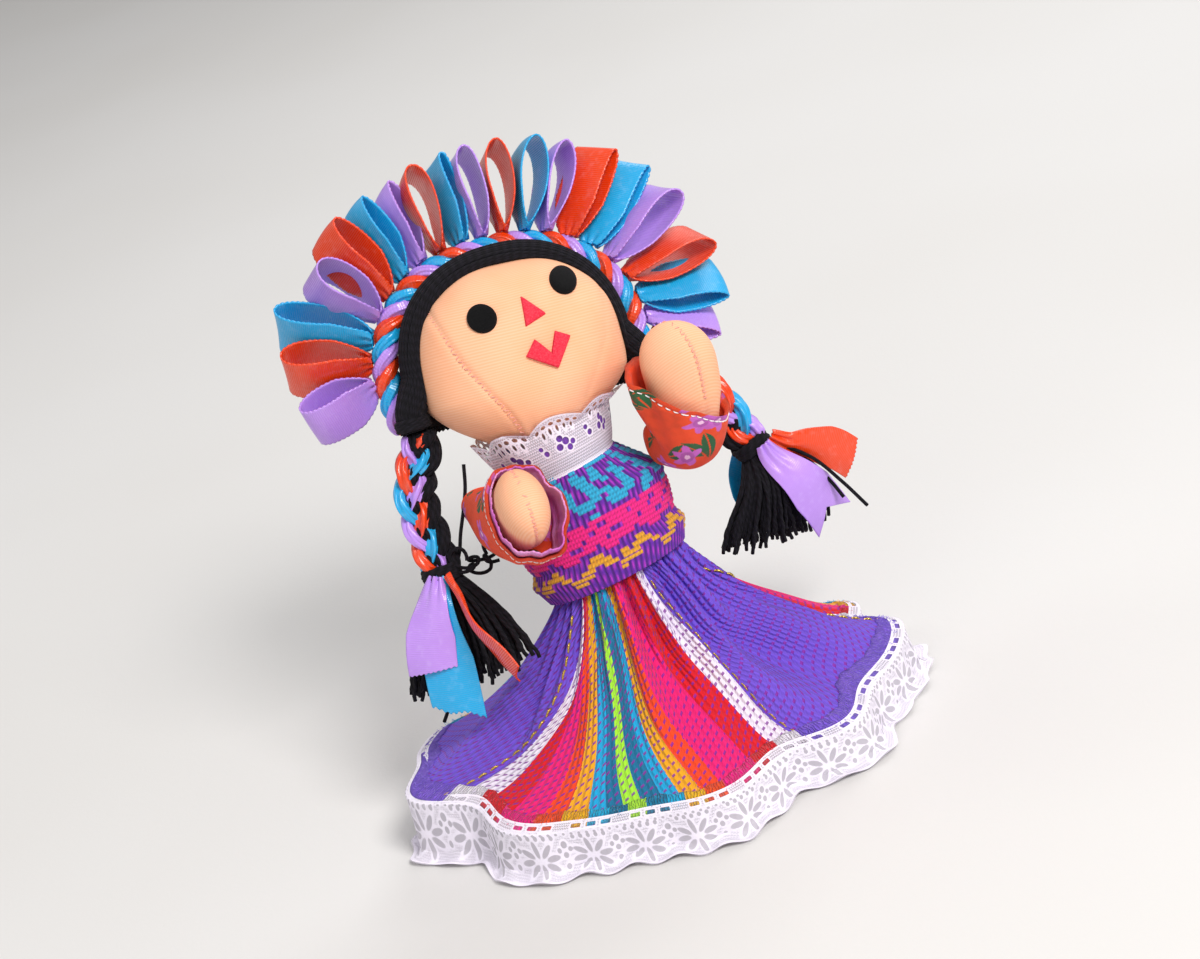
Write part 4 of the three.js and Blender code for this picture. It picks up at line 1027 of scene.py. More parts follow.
class SkirtOperator(bpy.types.Operator):
    """Makes the gathered skirt of striped handwoven cloth with its waistband, metal threads and hem."""
    bl_idname = "rag_doll.skirt"
    bl_label = "Skirt"
    bl_options = {"REGISTER", "UNDO"}

    def execute(self, context):
        wool = stripes()
        size = sizes()
        cloth = material("Handwoven stripes", handwoven, tuple(wool.fleck), size.float_wide, size.float_long)
        starts = (SKIRT_FROM, *(end for _, end in STRIPES[:-1]))
        strips = [self.strip(start, end, getattr(wool, name))
                  for start, (name, end) in zip(starts, STRIPES)]
        skirt = piece("skirt_cloth", joined(strips), cloth, "torso", ["skirt"])
        self.metal_threads()
        self.turned_hem()
        self.hem_fluff()
        return {"FINISHED"}

    def strip(self, start, end, rgb):
        """One stripe: down the outside, round the hem's edge and up the inside. Its yarns keep their width
        better than the gathered cloth does, so u is measured along each row and partly evened out."""
        angle = np.radians(np.linspace(start, end, 2 + int((end - start) / 0.6)))
        down = np.linspace(0, 1, 104)
        rows = [self.band(swayed(angle, 0), up, 0) for up in (WAISTBAND, WAISTBAND / 2)]
        rows += [on_skirt(swayed(angle, share), share, lift=0.35 * bump(share, 0.93, 0.03))
                 for share in down]
        turn = np.linspace(0, np.pi, 6)[1:-1]
        edge = [(0.5 * SKIRT_CLOTH * (1 - np.cos(t)), 0.5 * SKIRT_CLOTH * np.sin(t)) for t in turn]
        rows += [on_skirt(angle, 1.0, inwards) - np.array([0, 0, drop]) for inwards, drop in edge]
        rows += [on_skirt(swayed(angle, share), share, SKIRT_CLOTH) for share in np.linspace(1, 0, 12)]
        rows += [self.band(swayed(angle, 0), up, SKIRT_CLOTH) for up in (WAISTBAND / 2, WAISTBAND)]
        rows.append(rows[0])
        grid = np.stack(rows)
        middle = len(angle) // 2
        steps = np.linalg.norm(np.diff(grid, axis=1), axis=-1)
        arc = np.concatenate([np.zeros((len(grid), 1)), np.cumsum(steps, axis=1)], axis=1)
        reach = arc[:, -1:]
        across = (arc - arc[:, middle:middle + 1]) * (reach[len(down)] / reach) ** 0.3
        height = travelled(grid[:, middle])[:, None]
        return shell(grid, across, height, paint=np.array(rgb))

    def band(self, angle, up, inwards):
        grow = SEAT_GAP + SKIRT_CLOTH - inwards
        gathers = 0.2 * np.sin(46 * angle + 2 * np.sin(5 * angle))
        return TORSO.out(round_torso(angle, up + 0 * angle, grow + gathers))

    def turned_hem(self):
        """The cloth is turned over at the hem: a thicker band round it, of each stripe's colour."""
        angle = full_circle(2161)
        uneven = 0.006 * np.sin(17 * angle + 2) + 0.004 * np.sin(61 * angle)
        degrees = np.degrees(angle)
        side = bump(degrees, 335, 28) + 0.5 * bump(degrees, 190, 20)
        rows = []
        for share in np.linspace(0, 1, 12):
            down = mix(0.915 + uneven - side * 0.035, 0.992, share)
            rough = 1 + 0.12 * np.sin(140 * angle + 9 * share)
            lift = 0.12 + 0.45 * bump(share, 0.2, 0.16) * rough
            rows.append(on_skirt(swayed(angle, 1), down, lift=lift))
        grid = np.stack(rows)
        part = shell(grid, angle * 38, np.linspace(0, 4, 12)[:, None], paint=self.stripe_at(angle))
        piece("skirt_turned_hem", part, material("Brushed hem", brushed), "torso",
              thickness=0.35)

    def stripe_at(self, angle):
        """The colour of the stripe at each angle round the hem."""
        ends = np.array([SKIRT_FROM] + [end for _, end in STRIPES])
        degrees = np.mod(np.degrees(angle) - SKIRT_FROM, 360) + SKIRT_FROM
        which = np.clip(np.searchsorted(ends, degrees, side="right") - 1, 0, len(STRIPES) - 1)
        return np.array([getattr(stripes(), name) for name, _ in STRIPES])[which]

    def hem_fluff(self):
        """Short fibres that stand off the hem's edge, each in the colour of its stripe."""
        rng = np.random.default_rng(31)
        count = 1500
        angle = np.radians(rng.uniform(SKIRT_FROM, SKIRT_FROM + 360, count))
        root = on_skirt(angle, rng.uniform(0.90, 0.965, count), lift=0.5)
        out = xyz(np.cos(angle), np.sin(angle), 0)
        way = unit(out + rng.normal(0, 0.7, (count, 3)))
        bend = rng.normal(0, 0.35, (count, 3))
        t = np.linspace(0, 1, 4)[None, :, None]
        reach = rng.uniform(0.25, 0.6, (count, 1, 1))
        lines = root[:, None] + way[:, None] * t * reach + bend[:, None] * t**2 * 0.6
        part = yarns(lines, 0.045, (0.3, 0.2, 0.93), 4)
        part["paint"] = np.repeat(self.stripe_at(angle), len(part["points"]) // count, axis=0)
        piece("skirt_hem_fluff", part, material("Hem fluff", fibres), "torso")

    def metal_threads(self):
        """Each thread shows as dashes that taper and bend down where they dive under the yarns."""
        down = np.linspace(0.04, 0.985, 300)
        gold = material("Gold thread", metal_thread, tuple(stripes().gold_thread))
        parts = []
        for degrees, radius in GOLD_THREADS:
            angle = swayed(np.radians(degrees) + 0 * down, down)
            line = on_skirt(angle, down, lift=0.3)
            far = travelled(line)
            for start in np.arange(0.5, far[-1] - 2, 2.3):
                share = np.linspace(0, 1, 9)
                dash = np.stack([np.interp(start + 1.75 * share, far, line[:, k]) for k in range(3)], -1)
                dash[:, 2] -= 0.3 * (2 * share - 1) ** 2
                fat = radius * (0.45 + 0.55 * np.sqrt(np.sin(np.pi * np.clip(share, 0.02, 0.98))))
                parts.append(yarns([dash], fat[None], (0, 0, 1), 6))
        piece("skirt_metal_threads", joined(parts), gold, "torso")


class Holes:
    """Holes of a lace: the distance from each place to the nearest hole, in millimetres, below 0 inside."""

    def __init__(self, s, h):
        self.near = np.full(np.broadcast(s, h).shape, 9.0)
        self.netted = False

    def add(self, distance):
        self.near = np.minimum(self.near, distance)

    def rounds(self, x, y, radius):
        self.add(np.hypot(x, y) - radius)

    def petal(self, x, y, at_x, at_y, half_long, half_wide):
        """An oval whose middle is at a place and whose length points away from the flower's middle."""
        way = np.arctan2(at_y, at_x)
        ahead = (x - at_x) * np.cos(way) + (y - at_y) * np.sin(way)
        beside = (y - at_y) * np.cos(way) - (x - at_x) * np.sin(way)
        self.add((np.hypot(ahead / half_long, beside / half_wide) - 1) * half_wide)

    def paint(self, solid):
        """The distances, the solid parts and the netted parts from 0 to 1, for the lace's material."""
        return xyz(np.clip(0.5 + self.near / 4, 0, 1), 1.0 * solid, 1.0 * self.netted)


class LaceOperator(bpy.types.Operator):
    """Makes the lace below the hem, which lies on the table, and the lace collar."""
    bl_idname = "rag_doll.lace"
    bl_label = "Lace"
    bl_options = {"REGISTER", "UNDO"}

    def execute(self, context):
        self.hem()
        self.collar()
        return {"FINISHED"}

    def hem(self):
        """The lace lies over the lowest part of the skirt, falls from its hem in a soft bend and runs out
        over the table."""
        angle = full_circle(1321)
        out = xyz(np.cos(angle), np.sin(angle), 0)
        rows = [on_skirt(angle, share, lift=0.78) for share in np.linspace(0.944, 1.0, 9)]
        start = rows[-1]
        waves = 0.5 * np.sin(31 * angle + 2 * np.sin(4 * angle))
        rest = 0.45 + 0.3 * (1 + np.sin(37 * angle))
        for s in np.linspace(0, 1, 46)[1:]:
            away = 1.2 * s**1.4 + 2.0 * np.maximum(0, s - 0.72) / 0.28 + waves * s
            height = mix(start[:, 2], 0.45 + (rest - 0.45) * (s > 0.7), min(1.0, s / 0.8) ** 1.1)
            rows.append(np.concatenate([start[:, :2], height[:, None]], 1) + out * away[:, None])
        grid = np.stack(rows)
        along_hem = travelled(grid[20])
        repeat = along_hem[-1] / round(along_hem[-1] / sizes().lace_repeat)
        steps = np.linalg.norm(np.diff(grid, axis=0), axis=-1)
        fall = np.concatenate([np.zeros((1, len(angle))), np.cumsum(steps, axis=0)])
        paint = self.hem_pattern(along_hem[None, :] + 0 * fall, fall, fall[-1] - fall, repeat)
        part = shell(grid, along_hem, fall, paint=paint)
        hem = piece("lace_hem_cloth", part, white_lace(), "torso", ["lace_hem"])

    def hem_pattern(self, s, h, from_edge, repeat):
        """A band with slots, then flowers whose petals are holes round a small middle, small eyes between
        them, and a scalloped edge."""
        holes = Holes(s, h)
        slots = np.mod(s, 2.6) - 1.3
        group = np.mod(s, 4 * 2.6) > 2.6
        holes.add(np.where(group, np.maximum(np.abs(slots) - 0.85, np.abs(h - 1.1) - 0.42), 1.0))
        holes.rounds(np.mod(s, 1.3) - 0.65, h - 2.6, 0.26)
        at = np.mod(s, repeat) - repeat / 2
        tall = np.maximum(1, (from_edge + h - 3.3) / 6.3)
        y = from_edge / tall - 3.5
        for turn in np.arange(8) / 8 * FULL_TURN + 0.2:
            holes.petal(at, y, 2.35 * np.cos(turn), 1.5 * np.sin(turn), 1.15, 0.42)
        between = np.mod(s, repeat) - repeat * (np.mod(s, repeat) > repeat / 2)
        for x, up, size in ((0, 1.9, 0.5), (0, 0.5, 0.42), (-0.9, 1.2, 0.36), (0.9, 1.2, 0.36),
                            (0, -1, 0.4)):
            holes.rounds(between - x, y - up, size)
        for x in (-2.6, -1.3, 0.0, 1.3, 2.6):
            holes.rounds(at - x, y - 2.9, 0.34)
        holes.add(from_edge - 0.55 * (1 - np.cos(FULL_TURN * s / repeat)) * 0.5 - 0.1)
        solid = (from_edge < 0.95) | (h < 0.35) | (np.abs(h - 1.95) < 0.2) | (np.hypot(at / 1.2, y) < 0.55)
        holes.netted = (h > 1.9) & (from_edge > 0.3)
        return holes.paint(solid)

    def collar(self):
        """The collar stands round the neck and spreads; where it meets the head it lies on it."""
        angle = full_circle(721)
        share = np.linspace(-0.08, 1, 90)[:, None]
        up = COLLAR_FOOT + COLLAR_TALL * share
        a, b = (float(half) for half in torso_half(COLLAR_FOOT))
        foot = SEAT_GAP + BLOUSE_CLOTH + 0.35
        above = np.maximum(share, 0)
        spread = COLLAR_SPREAD * above**0.8 + 0.45 * np.sin(9 * angle + 2) * above
        x, y = (a + foot + spread) * np.cos(angle), (b + foot + spread) * np.sin(angle)
        grid = off_head(TORSO.out(xyz(x, y, up)), 0.55)
        around = angle / FULL_TURN * COLLAR_ROUND
        height = share * COLLAR_TALL + 0 * around
        paint = self.collar_pattern(around[None, :] + 0 * height, height)
        part = shell(grid, around, height, paint=paint)
        collar = piece("collar_lace", part, white_lace(), "torso", ["collar"])

    def collar_pattern(self, s, h):
        """A group of round holes in each scallop, with eyes along the scallop's edge."""
        repeat = COLLAR_ROUND / COLLAR_SCALLOPS
        at = np.mod(s + 2.2, repeat) - repeat / 2
        holes = Holes(s, h)
        for x, up, size in ((-0.9, 4.0, 0.62), (0.5, 4.6, 0.66), (-0.4, 5.4, 0.58), (0.9, 3.3, 0.56),
                            (1.8, 4.0, 0.5), (-3.6, 3.9, 0.5), (-4.2, 5.0, 0.42)):
            holes.rounds(at - x, h - up, size)
        scallop = 10.0 - 1.7 * (2 * np.abs(at) / repeat) ** 2.6
        below = scallop - h
        for x in np.linspace(-3.4, 3.4, 6):
            holes.rounds(at - x, below - 1.35, 0.4)
        for x in np.linspace(-2.6, 2.6, 5):
            holes.petal(at - x, below - 2.6, 0.001, 0.1, 0.6, 0.24)
        holes.add(below)
        return holes.paint((below < 0.4) | (h < -0.4) | (np.abs(h - 2.3) < 0.12))


class BodyOperator(bpy.types.Operator):
    """Makes the stuffed body and the inlaid blouse with its neckband."""
    bl_idname = "rag_doll.body"
    bl_label = "Body and blouse"
    bl_options = {"REGISTER", "UNDO"}

    def execute(self, context):
        self.stuffed_body()
        self.blouse()
        return {"FINISHED"}

    def stuffed_body(self):
        angle = full_circle(97)
        up = np.linspace(TORSO_PROFILE[0, 0], TORSO_PROFILE[-1, 0], 60)[:, None]
        seam = 0.25 * np.exp(-((np.mod(angle, np.pi) - np.pi / 2) * 30) ** 2)
        rows = round_torso(angle, up, -seam)
        low = rows[:1] * [0.5, 0.5, 1] - [0, 0, 0.5]
        grid = np.concatenate([rows[:1] * [0, 0, 1] - [0, 0, 0.6], low, rows, rows[-1:] * [0, 0, 1]])
        grid = TORSO.out(grid)
        part = shell(grid, angle * 11, np.linspace(0, 36, len(grid))[:, None])
        body = piece("body_cotton", part, skin_cotton(), "torso", ["torso_body"])

    def blouse(self):
        """A band round the torso. The inlay stands out as rounded floats, row by row."""
        columns, rows = 640, 140
        angle = full_circle(columns + 1)
        share = np.linspace(0, 1, rows)[:, None]
        up = mix(SEAT_GAP, BLOUSE_TOP, share)
        band = WAISTBAND + 1
        over_band = (SEAT_GAP + SKIRT_CLOTH) * (1 - np.clip((up - band) / 2.2, 0, 1))
        grow = SEAT_GAP + over_band + BLOUSE_CLOTH
        cells = 80
        place = angle[None, :] / FULL_TURN * cells
        level = (1 - share) * len(INLAY)
        letters = np.array([list(row) for row in INLAY])
        row = np.minimum(level.astype(int), len(INLAY) - 1)
        rng = np.random.default_rng(12)
        astray = rng.uniform(-0.5, 0.5, len(INLAY))[row] + 0.25 * np.sin(1.9 * place + 5 * row)
        column = np.mod((place + astray).astype(int), letters.shape[1])
        bulge = np.sqrt(np.maximum(0, 1 - (2 * np.mod(level, 1) - 1) ** 2))
        yarn_here = np.where(bulge > 0.36, letters[row, column], ".")
        inlaid = yarn_here != "."
        twist = 0.5 + 0.5 * np.sin(FULL_TURN * (place * 1.5 + level))
        rib = np.abs(np.sin(np.pi * (place + 0.12 * level)))
        relief = np.where(inlaid, 0.34 * bulge + 0.06 * twist, 0.2 * rib)
        soft = 0.25 * np.sin(3 * angle + 1) * np.sin(np.pi * share)
        outside = TORSO.out(round_torso(angle, up, grow - 0.2 + relief + soft))
        # The dye carries painted shade and highlights on the ground's ribs and on the inlaid floats.
        dye = self.dyes_with_painted_light(yarn_here, place, level, bulge, twist)
        inner = [TORSO.out(round_torso(angle, u + 0 * angle, SEAT_GAP + o))
                 for u, o in ((BLOUSE_TOP, 0.0), (band + 3, 0.0), (band, 1.5), (SEAT_GAP, 1.5))]
        ground = np.broadcast_to(np.array(hues().ground), (len(inner), columns + 1, 3))
        grid = off_head(np.concatenate([outside, inner, outside[:1]]), 0.15)
        paint = np.concatenate([dye, ground, dye[:1]])
        part = shell(grid, angle * 12.5, np.linspace(0, 46, len(grid))[:, None], paint=paint)
        cloth = piece("blouse_brocade", part, material("Brocade", brocade), "torso",
                      ["blouse"])
        self.neckband()

    def neckband(self):
        """The blouse's neckband stands up inside the lace collar and shows through its holes."""
        angle = full_circle(181)
        share = np.linspace(0, 0.58, 20)[:, None]
        a, b = (float(half) for half in torso_half(COLLAR_FOOT))
        foot = SEAT_GAP + BLOUSE_CLOTH
        spread = COLLAR_SPREAD * share**0.8 - 0.35 * share
        x, y = (a + foot + spread) * np.cos(angle), (b + foot + spread) * np.sin(angle)
        grid = off_head(TORSO.out(xyz(x, y, COLLAR_FOOT + COLLAR_TALL * share)), 0.5)
        rib = 0.5 + 0.5 * np.sin(90 * angle)
        tone = mix(np.array(hues().ground), np.array(srgb("8A35C0")), rib[:, None] * 0.5)
        part = shell(grid, angle * 10, share * 10, paint=tone)
        piece("blouse_neckband", part, material("Brocade", brocade), "torso",
              thickness=0.3)

    def dyes_with_painted_light(self, letters, place, level, bulge, twist):
        wool = stripes()
        ground = np.array(hues().ground)
        thread = np.abs(np.sin(np.pi * (place + 0.12 * level)))
        broken = 0.5 + 0.5 * np.sin(2.1 * level + 5 * np.floor(place + 0.12 * level))
        rib_highlight = np.array(srgb("C432C8"))
        # Painted shade and highlight on the ground: its ribs' grooves are darkened and their crests lit in
        # broken dashes.
        dye = ground * (0.35 + 0.65 * thread)[..., None]
        dye = dye + (rib_highlight - dye) * (0.75 * thread**6 * broken)[..., None]
        dye = np.broadcast_to(dye, (*letters.shape, 3)).copy()
        for letter, name in (("C", "cyan"), ("P", "pink"), ("G", "gold"), ("O", "orange")):
            rgb = np.array(getattr(wool, f"inlay_{name}"))
            # Painted shade and highlight on the floats: darker towards their ends, lighter at their middles
            # and along their twist, a little darker in the ribs' grooves.
            tone = rgb * ((0.3 + 0.6 * bulge + 0.25 * twist) * (0.88 + 0.12 * thread))[..., None]
            dye = np.where((letters == letter)[..., None], tone, dye)
        return dye


class HeadOperator(bpy.types.Operator):
    """Makes the stuffed head with its seams, its filling and its felt features."""
    bl_idname = "rag_doll.head"
    bl_label = "Head and face"
    bl_options = {"REGISTER", "UNDO"}

    def execute(self, context):
        self.stuffed_head()
        self.seam("head_seam_stitches", HEAD_SEAM)
        self.features()
        return {"FINISHED"}

    def stuffed_head(self):
        """The fuller ellipsoid, with a groove along each seam and puckers gathered in to the neck."""
        longitude = full_circle(361)
        latitude = np.linspace(-np.pi / 2, np.pi / 2, 201)[:, None]
        grid = head_form(longitude, latitude)
        outwards = unit(grid / HEAD_HALF**2)
        front = grid[..., 1] < 0
        groove = np.zeros(grid.shape[:2])
        for path, depth in ((HEAD_SEAM, 0.24), (HEAD_FAINT_SEAM, 0.07)):
            away = near(grid[..., [0, 2]], path)
            groove += depth * bump(away, 0, 0.5) * front
            beside = np.abs(away - 1.3)
            groove -= 0.16 * depth * bump(beside, 0, 0.6) * front
        back_seam = 0.3 * bump(grid[..., 0], 0, 0.6) * ~front
        puckers = 0.5 * np.cos(17 * longitude + 1.5 * np.sin(4 * longitude))
        puckers = puckers * bump(grid[..., 2], -15.5, 3.4) * np.cos(latitude) ** 0.5
        dents = 0.16 * np.sin(grid[..., 0] * 0.42 + 1) * np.cos(grid[..., 2] * 0.36)
        grid = grid - outwards * (groove + back_seam + puckers + dents)[..., None]
        part = shell(HEAD.out(grid), longitude * 17, latitude * 15.5)
        head = piece("head_cotton", part, skin_cotton(), "head", ["head_skin"])
        latitude = np.linspace(-np.pi / 2, np.pi / 2, 31)[:, None]
        inner = head_form(full_circle(49), latitude, -1.4)
        wad = material("Wadding", felt, srgb("F4F1EA"))
        filling = piece("head_wadding", shell(HEAD.out(inner)), wad, "head", ["head_stuffing"])

    def seam(self, name, path):
        flat = np.array([(x, 0, z) for x, z in path], float)
        total = travelled(flat)[-1]
        line = curve(flat, int(total / (0.5 * sizes().stitch)))
        on = on_head(line[:, 0], line[:, 2], -0.12)
        lift = unit(on / HEAD_HALF**2)
        ahead = along(on)
        part = stitches(on, ahead, np.cross(lift, ahead), lift)
        part["points"] = HEAD.out(part["points"])
        piece(name, part, stitch_thread(), "head")

    def features(self):
        angle = full_circle(73)
        black = material("Black felt", felt, tuple(hues().eye_felt), 0.004)
        red = material("Red felt", felt, tuple(hues().red_felt))
        for name, (x, z) in zip(("eye_right", "eye_left"), EYES):
            outline = np.stack([x + EYE_RADIUS * np.cos(angle), z + EYE_RADIUS * np.sin(angle)], -1)
            self.patch(f"{name}_felt", outline, (x, z), black, "eye_felt", name, 0.55)
        nose = self.corners(NOSE)
        self.patch("nose_felt", nose, nose[:-1].mean(0), red, "red_felt", "nose", 0.4)
        mouth = self.corners(MOUTH)
        self.patch("mouth_felt", mouth, (2.8, -1.0), red, "red_felt", "mouth", 0.4)

    def corners(self, points):
        """A closed outline whose corners are slightly rounded."""
        points = np.array(points, float)
        after = np.roll(points, -1, axis=0)
        share = np.linspace(0, 1, 24, endpoint=False)[None, :, None]
        outline = (points[:, None] + (after - points)[:, None] * share).reshape(-1, 2)
        softened = (np.roll(outline, 1, 0) + 2 * outline + np.roll(outline, -1, 0)) / 4
        return np.vstack([softened, softened[:1]])

    def patch(self, name, outline, centre, cloth, slot, node, dome):
        """Rings from the middle of a patch to its outline, over its rounded edge and down to the head."""
        rings = [(s, 0.3 + dome * np.sqrt(max(0, 1 - s**6))) for s in np.linspace(0, 1, 18)]
        rings += [(1.01, 0.2), (1.0, 0.02), (0.6, 0.0), (0.0, 0.0)]
        rows = []
        for share, off in rings:
            flat = np.array(centre) + share * (outline - centre)
            point = on_head(flat[:, 0], flat[:, 1])
            rows.append(point + unit(point / HEAD_HALF**2) * off)
        part = shell(HEAD.out(np.stack(rows)))
        piece(name, part, cloth, "head", [node])


class HairOperator(bpy.types.Operator):
    """Makes the hair of parallel yarns and its ties."""
    bl_idname = "rag_doll.hair"
    bl_label = "Hair"
    bl_options = {"REGISTER", "UNDO"}

    def execute(self, context):
        self.roll()
        self.cap()
        self.ties()
        return {"FINISHED"}

    def roll_line(self, steps):
        """From one tie over the head to the other."""
        half = (HAIR_HALF[0] - ROLL_THICK, ROLL_TOP - ROLL_THICK)
        x, z = round_head(np.radians(np.linspace(176, 4, 22)), half)
        arc = xyz(x, ROLL_AT, z)
        right, left = tie_place(-1), tie_place(1)
        top = np.array([0, 0, TIE_HEIGHT])
        return curve(np.vstack([right, right + top, arc, left + top, left]), steps)

    def roll(self):
        rng = np.random.default_rng(7)
        steps = 130
        line = self.roll_line(steps)
        side, other = sideways(line, (0, 1, 0))
        t = np.linspace(0, 1, steps)
        opened = np.clip(np.minimum(t, 1 - t) / 0.1, 0, 1)
        opened = opened * opened * (3 - 2 * opened)
        count = 34
        turn = (np.arange(count) + rng.uniform(-0.25, 0.25, count)) / count * FULL_TURN
        radius = sizes().hair_yarn / 2
        strands = []
        for inner, number in ((1.0, count), (0.62, 14)):
            phase = turn[:number] if inner == 1.0 else np.arange(number) / number * FULL_TURN
            drift = rng.uniform(-0.25, 0.25, (number, 3))
            wave = drift[:, :1] * np.sin(FULL_TURN * (t[None] * 2 + drift[:, 1:2])) + 0.12 * drift[:, 2:]
            wide = mix(2.0, ROLL_DEPTH - radius, opened) * inner
            thick = mix(2.0, ROLL_THICK - radius, opened) * inner
            y = (np.cos(phase)[:, None] * wide + wave)[..., None] * side
            n = (np.sin(phase)[:, None] * thick + 0.5 * wave)[..., None] * other
            strands.append(off_head(HEAD.out(line + y + n), SEAT_GAP))
        across = HEAD.turn @ np.array([0, 1.0, 0])
        part = yarns(np.concatenate(strands), radius, across, 8)
        piece("hair_roll_yarn", part, hair_yarn(), "head", ["hair_roll"])

    def cap(self):
        """Yarns side by side from the nape at one side over the head to the other side, each in its own
        upright plane, over a close layer below."""
        rng = np.random.default_rng(11)
        radius = sizes().hair_yarn / 2
        rear = ROLL_AT + ROLL_DEPTH + SEAT_GAP
        lines = []
        half = HAIR_HALF - radius
        start = (rear - 0.5) / half[1]
        for share in np.sin(np.linspace(np.arcsin(start), np.arcsin(0.995), 21)):
            here = (1 - share**HEAD_FULL) ** (1 / HEAD_FULL)
            low = np.clip(NAPE / (half[2] * here), -0.999, 0)
            below = np.arcsin(low)
            angle = np.linspace(np.pi - below, below, 90)
            x, z = round_head(angle, (half[0] * here, half[2] * here))
            y = share * half[1] + rng.uniform(-0.1, 0.1) + 0.12 * np.sin(angle * 5 + rng.uniform(0, 6))
            lines.append(xyz(x, y, z))
        across = HEAD.turn @ np.array([0, 1.0, 0])
        strands = yarns(HEAD.out(np.stack(lines)), radius * 1.08, across, 8)
        angle = np.linspace(0, np.pi, 65)[None, :]
        lean = np.linspace(-0.42, np.pi / 2, 41)[:, None]
        close = full_round(angle, lean, HAIR_HALF - 1.0)
        close[..., 1] = np.maximum(close[..., 1], rear)
        close[..., 2] = np.maximum(close[..., 2], NAPE)
        close[..., 0] += HAIR_ASIDE
        part = joined([strands, shell(HEAD.out(close))])
        piece("hair_back_yarn", part, hair_yarn(), "head", ["hair_back"])

    def ties(self):
        for side, name in SIDES:
            wound = HEAD.out(winding(TIE_RADIUS + 0.15, TIE_HEIGHT, 4.4, 0.36) + tie_place(side))
            part = yarns(wound[None], 0.4, HEAD.turn @ np.array([0, 0, 1.0]), 8)
            piece(f"hair_tie_yarn_{name}", part, hair_yarn(), "head", [f"hair_tie_{name}"])


